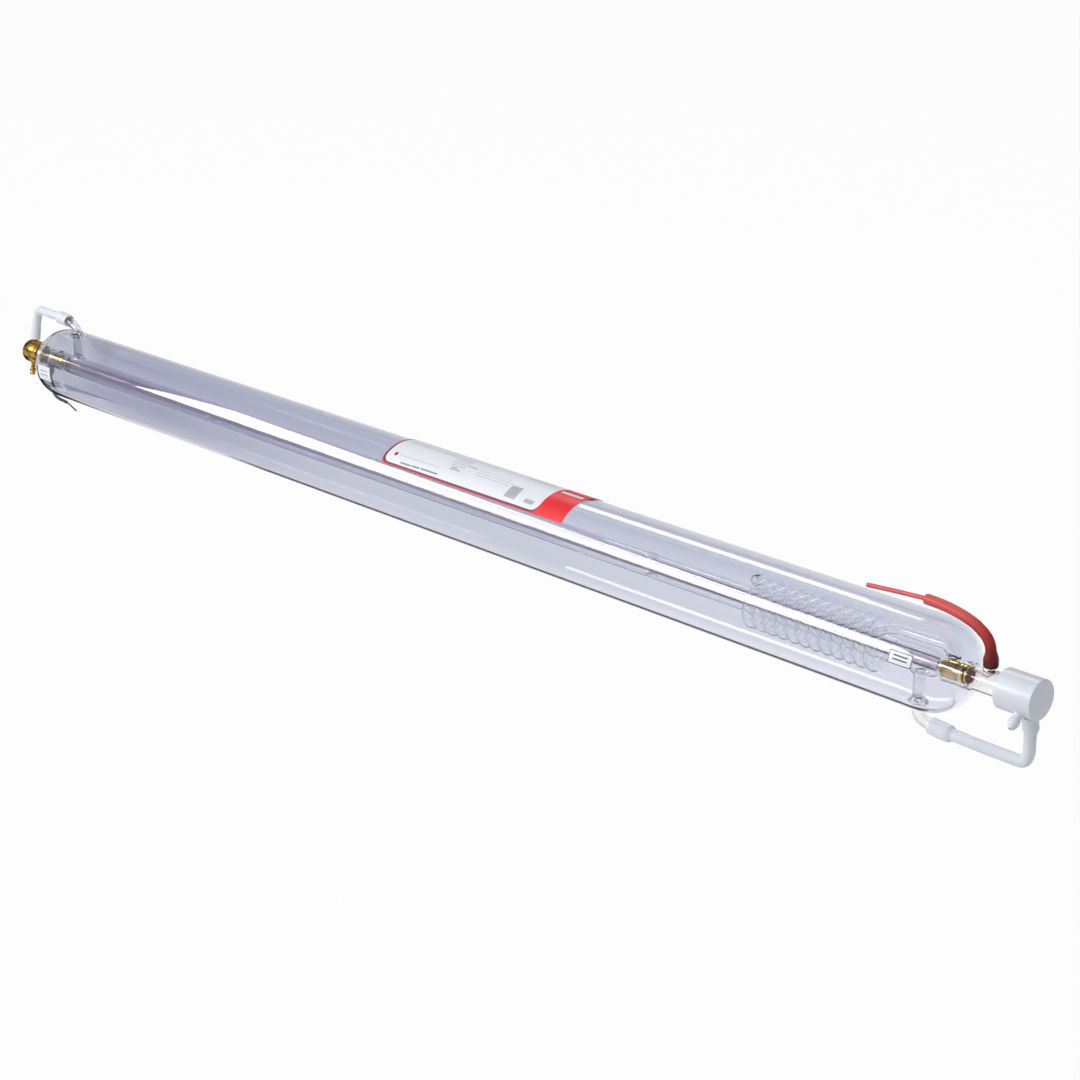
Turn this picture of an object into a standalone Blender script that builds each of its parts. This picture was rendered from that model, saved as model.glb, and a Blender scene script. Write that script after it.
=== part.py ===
"""Sealed glass carbon dioxide laser tube, as a set of separate solids.

The tube's axis is the X axis, and the origin lies on it, halfway along the straight part of the
outer jacket, where the tube hangs between its two cradles. +X is the high-voltage end with the
rear mirror, -X is the output end, and +Z is up. All lengths are in metres.
"""

import math

import bmesh
import bpy
from mathutils import Matrix, Vector

for leftover in list(bpy.data.objects):
    bpy.data.objects.remove(leftover, do_unlink=True)

# Fits
SEAT_GAP = 0.0003

# Outer jacket, the gas reservoir
JACKET_DIAMETER = 0.080
JACKET_WALL = 0.0024
JACKET_STRAIGHT_LENGTH = 1.232
ANODE_DOME_LENGTH = 0.0424
CATHODE_DOME_LENGTH = 0.030
DOME_ROUNDNESS = 2.3
RING_SEAL_LIP = 0.0020

# Glass along the axis: discharge tube, water jacket, end bulbs and necks
DISCHARGE_TUBE_DIAMETER = 0.0108
DISCHARGE_BORE = 0.0080
DISCHARGE_TUBE_PROUD = 0.0022
WATER_JACKET_DIAMETER = 0.022
WATER_JACKET_WALL = 0.0015
WATER_JACKET_PAST_ANODE_SHOULDER = 0.017
WATER_JACKET_PAST_CATHODE_SHOULDER = 0.001
END_BULB_DIAMETER = 0.022
END_BULB_ROUNDING = 0.0056
END_BULB_PAST_DOME = 0.0050
NECK_DIAMETER = 0.020
NECK_TAPER = 0.0040
CENTRAL_GLASS_WALL = 0.0015
ANODE_NECK_LENGTH = 0.0416
CATHODE_NECK_LENGTH = 0.044

# Dimples pressed into the water jacket, which centre the discharge tube
DIMPLE_STATIONS = (-0.330, 0.323)
DIMPLES_AROUND = 4
DIMPLE_WIDTH = 0.0042

# Electrodes and their pins
ANODE_ELECTRODE_DIAMETER = 0.0155
ANODE_ELECTRODE_LENGTH = 0.0245
CATHODE_ELECTRODE_DIAMETER = 0.0130
CATHODE_ELECTRODE_LENGTH = 0.032
ELECTRODE_WALL = 0.0008
ELECTRODE_INSET = 0.0010
PIN_DIAMETER = 0.0015
ANODE_PIN_PAST_DOME = 0.0201
CATHODE_PIN_PAST_DOME = 0.018
PIN_SEAL_FOOT_RADIUS = 0.0078
PIN_SEAL_STEM_RADIUS = 0.0040
PIN_SEAL_FOOT_HEIGHT = 0.0026
PIN_SEAL_HEIGHT = 0.0080
PIN_PROUD = 0.0022
PIN_LAP = 0.0045

# Gas return coil
COIL_TUBE_DIAMETER = 0.0090
COIL_TUBE_BORE = 0.0064
COIL_DIAMETER = 0.046
COIL_PITCH = 0.01167
COIL_TURNS = 12
COIL_END_TO_ANODE_SHOULDER = 0.036
COIL_LEAD_OUT = 0.018
GAS_PORT_PAST_SHOULDER = 0.0278
GAS_PORT_SLOPE = 50.0

# Rear mirror and its water-cooled white cap
CAP_DIAMETER = 0.0332
CAP_LENGTH = 0.0336
CAP_GRIP = 0.0076
CAP_EDGE_ROUNDING = 0.0008
MIRROR_THICKNESS = 0.005
CAP_NOZZLE_FROM_FACE = 0.012
CAP_NOZZLE_REACH = 0.0130
CAP_NOZZLE_NECK_RADIUS = 0.0035
CAP_NOZZLE_BARB_RADIUS = 0.0045
CAP_NOZZLE_BORE_RADIUS = 0.0018
CAP_NOZZLE_BORE_FLOOR = 0.0070
BARE_NOZZLE_ANGLE = -45.0
HOSED_NOZZLE_ANGLE = 13.0

# Brass output head, window and retaining ring
HEAD_DIAMETER = 0.0270
HEAD_COLLAR_DIAMETER = 0.0240
HEAD_LENGTH = 0.0247
HEAD_GRIP = 0.014
HEAD_COLLAR_LENGTH = 0.006
HEAD_CONE_LENGTH = 0.0105
HEAD_TURN = 10.0
HEAD_APERTURE = 0.0150
HEAD_GROOVE_DEPTH = 0.0006
WINDOW_DIAMETER = 0.0192
WINDOW_THICKNESS = 0.004
RETAINING_RING_DIAMETER = 0.0224
RETAINING_RING_THICKNESS = 0.0033
BARB_FROM_HEAD_FACE = 0.0047
BARB_REACH = 0.0148
BARB_RADIUS = 0.0037
BARB_WAIST_RADIUS = 0.0025
BARB_BORE_RADIUS = 0.0016
BARB_SHANK_RADIUS = 0.0031
BARB_SHANK_LENGTH = 0.0022
BARB_SHANK_PROUD = 0.0012

# Glass water connections through the outer jacket
WATER_GLASS_DIAMETER = 0.0100
WATER_GLASS_BORE = 0.0070
INLET_BEFORE_ANODE_SHOULDER = 0.0026
OUTLET_BEFORE_CATHODE_SHOULDER = 0.019
WATER_GLASS_FLARE_RADIUS = 0.0086
WATER_GLASS_FLARE_HEIGHT = 0.0070
INLET_DROP = 0.0125
INLET_REACH = 0.030
OUTLET_RISE = 0.0125
OUTLET_REACH = 0.033

# Silicone water hoses
HOSE_DIAMETER = 0.0100
HOSE_BORE = 0.0060
HOSE_STRETCHED_WALL = 0.0018
HOSE_LAP_ON_GLASS = 0.018
HOSE_LAP_ON_CAP_NOZZLE = 0.0115
HOSE_LAP_ON_BARB = 0.0140

# High-voltage lead with its sleeve, and the earth lead with its sleeve
HV_SLEEVE_DIAMETER = 0.0088
HV_SLEEVE_BORE = 0.0050
HV_SLEEVE_MOUTH_DIAMETER = 0.0122
HV_LEAD_DIAMETER = 0.0038
EARTH_SLEEVE_DIAMETER = 0.0036
EARTH_SLEEVE_BORE = 0.0028
EARTH_SLEEVE_MOUTH_DIAMETER = 0.0112
EARTH_LEAD_DIAMETER = 0.0018

# Stickers
STICKER_THICKNESS = 0.0003
RATING_LABEL_LENGTH = 0.2520
RATING_LABEL_START = -0.014
RATING_LABEL_LOWER_ANGLE = 39.0
RATING_LABEL_UPPER_ANGLE = 125.0
INLET_TAG_LENGTH = 0.022
INLET_TAG_LOWER_ANGLE = 11.0
INLET_TAG_UPPER_ANGLE = 27.0
OUTLET_TAG_LENGTH = 0.025
OUTLET_TAG_LOWER_ANGLE = -16.0
OUTLET_TAG_UPPER_ANGLE = 8.5
TAG_PAST_ANODE_SHOULDER = 0.016
TAG_PAST_CATHODE_SHOULDER = 0.006

# Facets
JACKET_SEGMENTS = 36
GLASS_SEGMENTS = 16
METAL_SEGMENTS = 20
COIL_STEPS_PER_TURN = 10
COIL_SIDES = 6
HOSE_SIDES = 8
WATER_GLASS_SIDES = 10
CUTTER_SEGMENTS = 12

# Places along the axis, worked out from the sizes above
JACKET_RADIUS = JACKET_DIAMETER / 2
ANODE_SHOULDER = JACKET_STRAIGHT_LENGTH / 2
CATHODE_SHOULDER = -JACKET_STRAIGHT_LENGTH / 2
ANODE_DOME_END = ANODE_SHOULDER + ANODE_DOME_LENGTH
CATHODE_DOME_END = CATHODE_SHOULDER - CATHODE_DOME_LENGTH
DOME_HOLE_RADIUS = END_BULB_DIAMETER / 2 + SEAT_GAP
WATER_JACKET_ANODE_END = ANODE_SHOULDER + WATER_JACKET_PAST_ANODE_SHOULDER
WATER_JACKET_CATHODE_END = CATHODE_SHOULDER - WATER_JACKET_PAST_CATHODE_SHOULDER
DISCHARGE_HOLE_RADIUS = DISCHARGE_TUBE_DIAMETER / 2 + SEAT_GAP
ANODE_NECK_END = ANODE_DOME_END + ANODE_NECK_LENGTH
CATHODE_NECK_END = CATHODE_DOME_END - CATHODE_NECK_LENGTH
ANODE_PIN_X = ANODE_DOME_END + ANODE_PIN_PAST_DOME
CATHODE_PIN_X = CATHODE_DOME_END - CATHODE_PIN_PAST_DOME
PIN_TOP = NECK_DIAMETER / 2 + PIN_SEAL_HEIGHT + PIN_PROUD
CAP_BACK = ANODE_NECK_END - CAP_GRIP
CAP_FACE = CAP_BACK + CAP_LENGTH
CAP_NOZZLE_X = CAP_FACE - CAP_NOZZLE_FROM_FACE
CAP_NOZZLE_TIP = CAP_DIAMETER / 2 + CAP_NOZZLE_REACH
UPPER_BARB_ANGLE = 180.0 - HEAD_TURN
LOWER_BARB_ANGLE = -HEAD_TURN
HEAD_BACK = CATHODE_NECK_END + HEAD_GRIP
HEAD_FACE = HEAD_BACK - HEAD_LENGTH
BARB_X = HEAD_FACE + BARB_FROM_HEAD_FACE
BARB_TIP = HEAD_DIAMETER / 2 + BARB_REACH
INLET_X = ANODE_SHOULDER - INLET_BEFORE_ANODE_SHOULDER
OUTLET_X = CATHODE_SHOULDER + OUTLET_BEFORE_CATHODE_SHOULDER
HOSE_RADIUS = HOSE_DIAMETER / 2
HOSE_SPACING = HOSE_DIAMETER * 0.6
WATER_GLASS_SPACING = WATER_GLASS_DIAMETER / 2.5


# Materials

def make_material(name, colour, roughness, metallic=0.0, transmission=0.0, ior=1.5):
    """A Principled material, with the colour in linear values."""
    material = bpy.data.materials.new(name)
    material.use_nodes = True
    shader = material.node_tree.nodes["Principled BSDF"]
    shader.inputs["Base Color"].default_value = (*colour, 1.0)
    shader.inputs["Roughness"].default_value = roughness
    shader.inputs["Metallic"].default_value = metallic
    shader.inputs["Transmission Weight"].default_value = transmission
    shader.inputs["IOR"].default_value = ior
    material.diffuse_color = (*colour, 1.0)
    return material


CLEAR_GLASS = make_material("clear_glass", (0.80, 0.82, 0.90), 0.02, transmission=1.0, ior=1.47)
INNER_GLASS = make_material("inner_glass", (0.78, 0.74, 0.82), 0.02, transmission=1.0, ior=1.47)
SEAL_GLASS = make_material("seal_glass", (0.80, 0.72, 0.50), 0.06, transmission=0.9, ior=1.48)
GOLD_METAL = make_material("gold_electrode", (0.72, 0.50, 0.18), 0.22, metallic=1.0)
BRASS = make_material("brass", (0.62, 0.38, 0.12), 0.24, metallic=1.0)
PIN_METAL = make_material("pin_wire", (0.45, 0.43, 0.40), 0.35, metallic=1.0)
WHITE_PLASTIC = make_material("white_plastic", (0.78, 0.79, 0.82), 0.35)
MIRROR_METAL = make_material("mirror_metal", (0.80, 0.80, 0.82), 0.05, metallic=1.0)
WINDOW_AMBER = make_material("window_amber", (0.75, 0.38, 0.06), 0.05, transmission=0.6, ior=2.4)
SILICONE = make_material("silicone_hose", (0.80, 0.83, 0.87), 0.40, transmission=0.3)
RED_SILICONE = make_material("red_silicone", (0.42, 0.04, 0.03), 0.45)
BLACK_RUBBER = make_material("black_rubber", (0.02, 0.02, 0.02), 0.50)
STICKER_WHITE = make_material("sticker_white", (0.85, 0.85, 0.87), 0.40)


# Shapes

def finish(bm, name, *materials):
    """Turns a bmesh into a smooth-shaded object with its faces pointing out."""
    bmesh.ops.recalc_face_normals(bm, faces=bm.faces)
    mesh = bpy.data.meshes.new(name)
    bm.to_mesh(mesh)
    bm.free()
    for material in materials:
        mesh.materials.append(material)
    mesh.shade_smooth()
    mesh.set_sharp_from_angle(angle=math.radians(35.0))
    thing = bpy.data.objects.new(name, mesh)
    bpy.context.scene.collection.objects.link(thing)
    return thing


def turned(name, outline, material, segments, place=None):
    """Spins a closed outline of (distance along, radius) pairs about the X axis."""
    bm = bmesh.new()
    corners = [bm.verts.new((along, 0.0, radius)) for along, radius in outline]
    sides = [bm.edges.new(pair) for pair in zip(corners, corners[1:] + corners[:1])]
    bmesh.ops.spin(bm, geom=corners + sides, cent=(0, 0, 0), axis=(1, 0, 0),
                   angle=math.tau, steps=segments, use_merge=True)
    bmesh.ops.remove_doubles(bm, verts=bm.verts, dist=1e-6)
    if place is not None:
        bmesh.ops.transform(bm, matrix=place, verts=bm.verts)
    return finish(bm, name, material)


def skinned(name, rings, material):
    """Skins rings of equally many points into one closed body whose last ring meets its first."""
    bm = bmesh.new()
    loops = [[bm.verts.new(point) for point in ring] for ring in rings]
    for first, second in zip(loops, loops[1:] + loops[:1]):
        for index in range(len(first)):
            after = (index + 1) % len(first)
            bm.faces.new((first[index], first[after], second[after], second[index]))
    return finish(bm, name, material)


def drill(name, start, end, radius, segments=CUTTER_SEGMENTS):
    """A round cutter between two points."""
    start, end = Vector(start), Vector(end)
    direction = end - start
    bm = bmesh.new()
    turn = direction.to_track_quat("Z", "Y").to_matrix().to_4x4()
    place = Matrix.Translation((start + end) / 2) @ turn
    bmesh.ops.create_cone(bm, cap_ends=True, segments=segments, radius1=radius, radius2=radius,
                          depth=direction.length, matrix=place)
    cutter = finish(bm, name, PIN_METAL)
    cutter.hide_render = True
    cutter.display_type = "WIRE"
    return cutter


def combine(target, tool, operation="DIFFERENCE"):
    """Adds a Boolean of another object to a target."""
    modifier = target.modifiers.new(tool.name, "BOOLEAN")
    modifier.operation = operation
    modifier.object = tool
    tool.hide_render = True
    tool.display_type = "WIRE"


def across_flats(radius, sides):
    """The corner radius whose flats just clear a round piece of the given radius."""
    return (radius + SEAT_GAP) / math.cos(math.pi / sides)


# Routes

def smooth_route(points, spacing):
    """Evenly spaced points on a smooth curve through the given ones."""
    points = [Vector(point) for point in points]
    before = 2 * points[0] - points[1]
    beyond = 2 * points[-1] - points[-2]
    posts = [before, *points, beyond]
    dense = []
    for index in range(1, len(posts) - 2):
        p0, p1, p2, p3 = posts[index - 1:index + 3]
        for step in range(24):
            t = step / 24
            curve = (2 * p1 + (p2 - p0) * t + (2 * p0 - 5 * p1 + 4 * p2 - p3) * t ** 2
                     + (3 * p1 - p0 - 3 * p2 + p3) * t ** 3)
            dense.append(curve / 2)
    dense.append(points[-1])
    return evenly_spaced(dense, spacing)


def evenly_spaced(dense, spacing):
    """Resamples a dense line so that its points lie about one spacing apart."""
    lengths = [0.0]
    for first, second in zip(dense, dense[1:]):
        lengths.append(lengths[-1] + (second - first).length)
    count = max(2, round(lengths[-1] / spacing))
    route = []
    index = 0
    for step in range(count + 1):
        wanted = lengths[-1] * step / count
        while index < len(dense) - 2 and lengths[index + 1] < wanted:
            index += 1
        share = (wanted - lengths[index]) / (lengths[index + 1] - lengths[index])
        route.append(dense[index].lerp(dense[index + 1], share))
    return route


def route_distances(route):
    """Distance from the start of a route to each of its points."""
    distances = [0.0]
    for first, second in zip(route, route[1:]):
        distances.append(distances[-1] + (second - first).length)
    return distances


def rings_along(route, radii, sides, heading=None):
    """Round rings across a route, turned as little as possible from one to the next."""
    tangents = []
    for index in range(len(route)):
        first = route[max(index - 1, 0)]
        last = route[min(index + 1, len(route) - 1)]
        tangents.append((last - first).normalized())
    if heading is not None:
        tangents[0] = heading
    across = Vector((0.0, 1.0, 0.0))
    if abs(across.dot(tangents[0])) > 0.9:
        across = Vector((0.0, 0.0, 1.0))
    across = (across - tangents[0] * across.dot(tangents[0])).normalized()
    rings = []
    for index, centre in enumerate(route):
        if index:
            across = tangents[index - 1].rotation_difference(tangents[index]) @ across
        other = tangents[index].cross(across)
        ring = []
        for corner in range(sides):
            angle = math.tau * corner / sides
            offset = across * math.cos(angle) + other * math.sin(angle)
            ring.append(centre + offset * radii[index])
        rings.append(ring)
    return rings


def hollow_tube(name, route, outer_radii, inner_radii, sides, material, heading=None):
    """A tube along a route, open at both ends."""
    outer = rings_along(route, outer_radii, sides, heading)
    inner = rings_along(route, inner_radii, sides, heading)
    return skinned(name, outer + inner[::-1], material)


def ease(share):
    """Goes smoothly from 0 to 1."""
    share = min(max(share, 0.0), 1.0)
    return share * share * (3 - 2 * share)


# Outer jacket

def jacket_radius(x):
    """Outer radius of the jacket at a place along its axis."""
    lip = DOME_HOLE_RADIUS + RING_SEAL_LIP
    if x > ANODE_SHOULDER:
        share = (x - ANODE_SHOULDER) / ANODE_DOME_LENGTH
    else:
        share = (CATHODE_SHOULDER - x) / CATHODE_DOME_LENGTH
    return dome_radius(share, JACKET_RADIUS, lip)


def dome_radius(share, widest, narrowest):
    """Radius of a rounded end, from the shoulder at 0 to the ring seal at 1."""
    share = min(max(share, 0.0), 1.0)
    fullness = (1 - share ** DOME_ROUNDNESS) ** (1 / DOME_ROUNDNESS)
    return narrowest + (widest - narrowest) * fullness


def dome_outline(shoulder, length, widest, narrowest, steps=5):
    """Points of a rounded end from its shoulder to its ring seal."""
    outline = []
    for step in range(steps + 1):
        share = math.sin(math.pi / 2 * step / steps)
        outline.append((shoulder + length * share, dome_radius(share, widest, narrowest)))
    return outline


def build_outer_jacket():
    lip = DOME_HOLE_RADIUS + RING_SEAL_LIP
    inner_radius = JACKET_RADIUS - JACKET_WALL
    outside = dome_outline(CATHODE_SHOULDER, -CATHODE_DOME_LENGTH, JACKET_RADIUS, lip)[::-1]
    outside += dome_outline(ANODE_SHOULDER, ANODE_DOME_LENGTH, JACKET_RADIUS, lip)
    inside = dome_outline(ANODE_SHOULDER, ANODE_DOME_LENGTH - JACKET_WALL,
                          inner_radius, DOME_HOLE_RADIUS)[::-1]
    inside += dome_outline(CATHODE_SHOULDER, JACKET_WALL - CATHODE_DOME_LENGTH,
                           inner_radius, DOME_HOLE_RADIUS)
    rim = [(ANODE_DOME_END, DOME_HOLE_RADIUS)]
    far_rim = [(CATHODE_DOME_END, DOME_HOLE_RADIUS)]
    jacket = turned("outer_jacket", outside + rim + inside + far_rim, CLEAR_GLASS, JACKET_SEGMENTS)
    hole_radius = across_flats(WATER_GLASS_DIAMETER / 2, CUTTER_SEGMENTS)
    inner, outer = inner_radius / 2, JACKET_RADIUS * 1.2
    combine(jacket, drill("inlet_hole", (INLET_X, 0, -inner), (INLET_X, 0, -outer), hole_radius))
    combine(jacket, drill("outlet_hole", (OUTLET_X, 0, inner), (OUTLET_X, 0, outer), hole_radius))


# Water jacket

def dimple_depth(x, angle, reach):
    """How far the wall is pressed in at a place on the water jacket."""
    depth = 0.0
    radius = WATER_JACKET_DIAMETER / 2
    for station in DIMPLE_STATIONS:
        for number in range(DIMPLES_AROUND):
            middle = math.pi / 2 + math.tau * number / DIMPLES_AROUND
            turn = (angle - middle + math.pi) % math.tau - math.pi
            away = math.hypot(x - station, turn * radius) / DIMPLE_WIDTH
            depth += reach * math.exp(-away ** 2)
    return depth


def water_jacket_ring(x, radius, reach):
    """One ring of the water jacket's wall, pressed in where it has a dimple."""
    ring = []
    for corner in range(GLASS_SEGMENTS):
        angle = math.tau * corner / GLASS_SEGMENTS
        pressed = radius - dimple_depth(x, angle, reach)
        ring.append(Vector((x, pressed * math.cos(angle), pressed * math.sin(angle))))
    return ring


def water_jacket_stations():
    """Places along the straight wall that need a ring of points."""
    stations = []
    for station in DIMPLE_STATIONS:
        stations += [station + DIMPLE_WIDTH * share for share in (-1.8, -0.8, 0.0, 0.8, 1.8)]
    return stations


def water_jacket_wall(radius, hole_radius, start, end):
    """Rings of one side of the wall, closed in at both ends on the discharge tube."""
    rounding = END_BULB_ROUNDING
    reach = WATER_JACKET_DIAMETER / 2 - WATER_JACKET_WALL
    reach -= DISCHARGE_TUBE_DIAMETER / 2 + SEAT_GAP
    shoulders = [start + rounding, *water_jacket_stations(), end - rounding]
    rings = []
    for step in range(3):
        angle = math.pi / 2 * step / 3
        drawn_in = hole_radius + (radius - hole_radius) * math.sin(angle)
        rings.append(water_jacket_ring(start + rounding * (1 - math.cos(angle)), drawn_in, 0.0))
    for x in shoulders:
        rings.append(water_jacket_ring(x, radius, reach))
    for step in range(2, -1, -1):
        angle = math.pi / 2 * step / 3
        drawn_in = hole_radius + (radius - hole_radius) * math.sin(angle)
        rings.append(water_jacket_ring(end - rounding * (1 - math.cos(angle)), drawn_in, 0.0))
    return rings


def build_water_jacket():
    outer_radius = WATER_JACKET_DIAMETER / 2
    hole_radius = DISCHARGE_HOLE_RADIUS / math.cos(math.pi / GLASS_SEGMENTS)
    outside = water_jacket_wall(outer_radius, hole_radius,
                                WATER_JACKET_CATHODE_END, WATER_JACKET_ANODE_END)
    inside = water_jacket_wall(outer_radius - WATER_JACKET_WALL, hole_radius,
                               WATER_JACKET_CATHODE_END + WATER_JACKET_WALL,
                               WATER_JACKET_ANODE_END - WATER_JACKET_WALL)
    jacket = skinned("water_jacket", outside + inside[::-1], CLEAR_GLASS)
    port = WATER_GLASS_BORE / 2
    near, far = DISCHARGE_TUBE_DIAMETER / 2 + CENTRAL_GLASS_WALL, WATER_JACKET_DIAMETER
    combine(jacket, drill("inlet_port", (INLET_X, 0, -near), (INLET_X, 0, -far), port))
    combine(jacket, drill("outlet_port", (OUTLET_X, 0, near), (OUTLET_X, 0, far), port))


def build_discharge_tube():
    start = WATER_JACKET_CATHODE_END - DISCHARGE_TUBE_PROUD
    end = WATER_JACKET_ANODE_END + DISCHARGE_TUBE_PROUD
    outer, inner = DISCHARGE_TUBE_DIAMETER / 2, DISCHARGE_BORE / 2
    outline = [(start, inner), (start, outer), (end, outer), (end, inner)]
    turned("discharge_tube", outline, INNER_GLASS, GLASS_SEGMENTS)


# End bulbs, which run on through the domes as the necks

def bulb_outline(start, dome_end, neck_end, thickness):
    """One side of a bulb's wall, from the discharge tube to the end of the neck."""
    towards = math.copysign(1.0, neck_end - start)
    hole_radius = DISCHARGE_HOLE_RADIUS / math.cos(math.pi / GLASS_SEGMENTS)
    bulb_radius = END_BULB_DIAMETER / 2 - thickness
    neck_radius = NECK_DIAMETER / 2 - thickness
    outline = []
    for step in range(4):
        angle = math.pi / 2 * step / 3
        along = thickness + END_BULB_ROUNDING * (1 - math.cos(angle))
        radius = hole_radius + (bulb_radius - hole_radius) * math.sin(angle)
        outline.append((start + towards * along, radius))
    taper_start = dome_end + towards * END_BULB_PAST_DOME
    outline.append((taper_start, bulb_radius))
    outline.append((taper_start + towards * NECK_TAPER, neck_radius))
    outline.append((neck_end, neck_radius))
    return outline


def build_end_bulb(name, start, dome_end, neck_end, pin_x, pin_side):
    outside = bulb_outline(start, dome_end, neck_end, 0.0)
    inside = bulb_outline(start, dome_end, neck_end, CENTRAL_GLASS_WALL)
    bulb = turned(name, outside + inside[::-1], CLEAR_GLASS, GLASS_SEGMENTS)
    inner, outer = NECK_DIAMETER / 4, NECK_DIAMETER
    pin_hole = drill(name + "_pin_hole", (pin_x, 0, pin_side * inner),
                     (pin_x, 0, pin_side * outer), PIN_DIAMETER / 2 + SEAT_GAP)
    combine(bulb, pin_hole)
    return bulb


def build_bulbs():
    anode_start = WATER_JACKET_ANODE_END + SEAT_GAP
    anode = build_end_bulb("anode_bulb", anode_start, ANODE_DOME_END, ANODE_NECK_END,
                           ANODE_PIN_X, 1)
    port_middle, port_direction = gas_port()
    combine(anode, drill("gas_port_hole", port_middle - port_direction * COIL_TUBE_DIAMETER,
                         port_middle + port_direction * COIL_TUBE_BORE / 2, COIL_TUBE_BORE / 2))
    cathode_start = WATER_JACKET_CATHODE_END - SEAT_GAP
    cathode = build_end_bulb("cathode_bulb", cathode_start, CATHODE_DOME_END, CATHODE_NECK_END,
                             CATHODE_PIN_X, -1)
    vent_x = (cathode_start + CATHODE_DOME_END) / 2
    combine(cathode, drill("gas_vent_hole", (vent_x, 0, END_BULB_DIAMETER / 4),
                           (vent_x, 0, END_BULB_DIAMETER), COIL_TUBE_BORE / 2))


# Electrodes, pins and the glass seals that the pins pass through

def build_electrode(name, start, length, diameter):
    outer, inner = diameter / 2, diameter / 2 - ELECTRODE_WALL
    roll = ELECTRODE_WALL / 2
    end = start + length
    outline = [(start, inner + roll / 2), (start, outer - roll / 2), (start + roll, outer),
               (end - roll, outer), (end, outer - roll / 2), (end, inner + roll / 2),
               (end - roll, inner), (start + roll, inner)]
    turned(name, outline, GOLD_METAL, GLASS_SEGMENTS)


def electrode_start(side):
    """End of an electrode that faces the discharge tube."""
    if side > 0:
        return WATER_JACKET_ANODE_END + DISCHARGE_TUBE_PROUD + ELECTRODE_INSET
    return WATER_JACKET_CATHODE_END - DISCHARGE_TUBE_PROUD - ELECTRODE_INSET


def build_pin(name, pin_x, electrode_end, diameter, side, up):
    """A wire down through its seal, bent along the neck onto the electrode's inner wall."""
    radius = PIN_DIAMETER / 2
    level = diameter / 2 - ELECTRODE_WALL - across_flats(radius, GLASS_SEGMENTS) - radius / 2
    bend = PIN_DIAMETER * 1.5
    inside = electrode_end - side * PIN_LAP
    route = [Vector((pin_x, 0, up * PIN_TOP)), Vector((pin_x, 0, up * (level + bend * 2)))]
    for step in range(5):
        angle = math.pi / 2 * step / 4
        route.append(Vector((pin_x - side * bend * (1 - math.cos(angle)), 0,
                             up * (level + bend * (1 - math.sin(angle))))))
    route.append(Vector((inside, 0, up * level)))
    radii = [radius] * len(route)
    bm = bmesh.new()
    loops = [[bm.verts.new(point) for point in ring] for ring in rings_along(route, radii, 8)]
    for first, second in zip(loops, loops[1:]):
        for index in range(8):
            after = (index + 1) % 8
            bm.faces.new((first[index], first[after], second[after], second[index]))
    bm.faces.new(loops[0][::-1])
    bm.faces.new(loops[-1])
    finish(bm, name, PIN_METAL)


def wall_height(y, wall_radius):
    """Height of a lying cylinder's surface above its axis, at a distance to one side."""
    return math.sqrt(max(wall_radius ** 2 - y ** 2, 0.0))


def seated_ring(x, up, radius, lift, wall_radius, sides, flatness=0.0, level=0.0):
    """A ring round a vertical line that follows a lying cylinder, or a level as it flattens."""
    across = Vector((0.0, 1.0, 0.0))
    other = Vector((0.0, 0.0, up)).cross(across)
    ring = []
    for corner in range(sides):
        angle = math.tau * corner / sides
        offset = across * (radius * math.cos(angle)) + other * (radius * math.sin(angle))
        height = wall_height(offset.y, wall_radius) + lift
        height += (level - height) * flatness
        ring.append(Vector((x + offset.x, offset.y, up * height)))
    return ring


def build_pin_seal(name, pin_x, up):
    """A flared glass foot on the neck, drawn in to a stem round the pin."""
    foot, stem = PIN_SEAL_FOOT_RADIUS, PIN_SEAL_STEM_RADIUS
    seat = NECK_DIAMETER / 2 + SEAT_GAP
    top = NECK_DIAMETER / 2 + PIN_SEAL_HEIGHT
    hole = across_flats(PIN_DIAMETER / 2, GLASS_SEGMENTS)
    sides = 12
    rings = [seated_ring(pin_x, up, foot, 0.0, seat, sides)]
    for share in (0.35, 0.7, 1.0):
        radius = foot + (stem - foot) * ease(share) ** 0.6
        level = seat + PIN_SEAL_FOOT_HEIGHT * share
        rings.append(seated_ring(pin_x, up, radius, 0.0, seat, sides, share, level))
    rings.append(seated_ring(pin_x, up, stem * 0.8, 0.0, seat, sides, 1.0, top - stem * 0.15))
    rings.append(seated_ring(pin_x, up, stem * 0.45, 0.0, seat, sides, 1.0, top))
    rings.append(seated_ring(pin_x, up, hole, 0.0, seat, sides, 1.0, top))
    for radius in (hole, hole + (foot - hole) * 0.36, hole + (foot - hole) * 0.7):
        rings.append(seated_ring(pin_x, up, radius, 0.0, seat, sides))
    skinned(name, rings, SEAL_GLASS)


def build_electrodes():
    anode_start = electrode_start(1)
    anode_end = anode_start + ANODE_ELECTRODE_LENGTH
    build_electrode("anode_electrode", anode_start, ANODE_ELECTRODE_LENGTH,
                    ANODE_ELECTRODE_DIAMETER)
    cathode_end = electrode_start(-1) - CATHODE_ELECTRODE_LENGTH
    build_electrode("cathode_electrode", cathode_end, CATHODE_ELECTRODE_LENGTH,
                    CATHODE_ELECTRODE_DIAMETER)
    build_pin("anode_pin", ANODE_PIN_X, anode_end, ANODE_ELECTRODE_DIAMETER, 1, 1)
    build_pin("cathode_pin", CATHODE_PIN_X, cathode_end, CATHODE_ELECTRODE_DIAMETER, -1, -1)
    build_pin_seal("anode_seal", ANODE_PIN_X, 1)
    build_pin_seal("cathode_seal", CATHODE_PIN_X, -1)


# Gas return: a glass coil round the water jacket that runs on into the anode bulb

def gas_port():
    """Where the gas return meets the anode bulb, and its direction there."""
    slope = math.radians(GAS_PORT_SLOPE)
    middle = Vector((ANODE_SHOULDER + GAS_PORT_PAST_SHOULDER, 0, END_BULB_DIAMETER / 2))
    return middle, Vector((math.cos(slope), 0, -math.sin(slope)))


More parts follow.
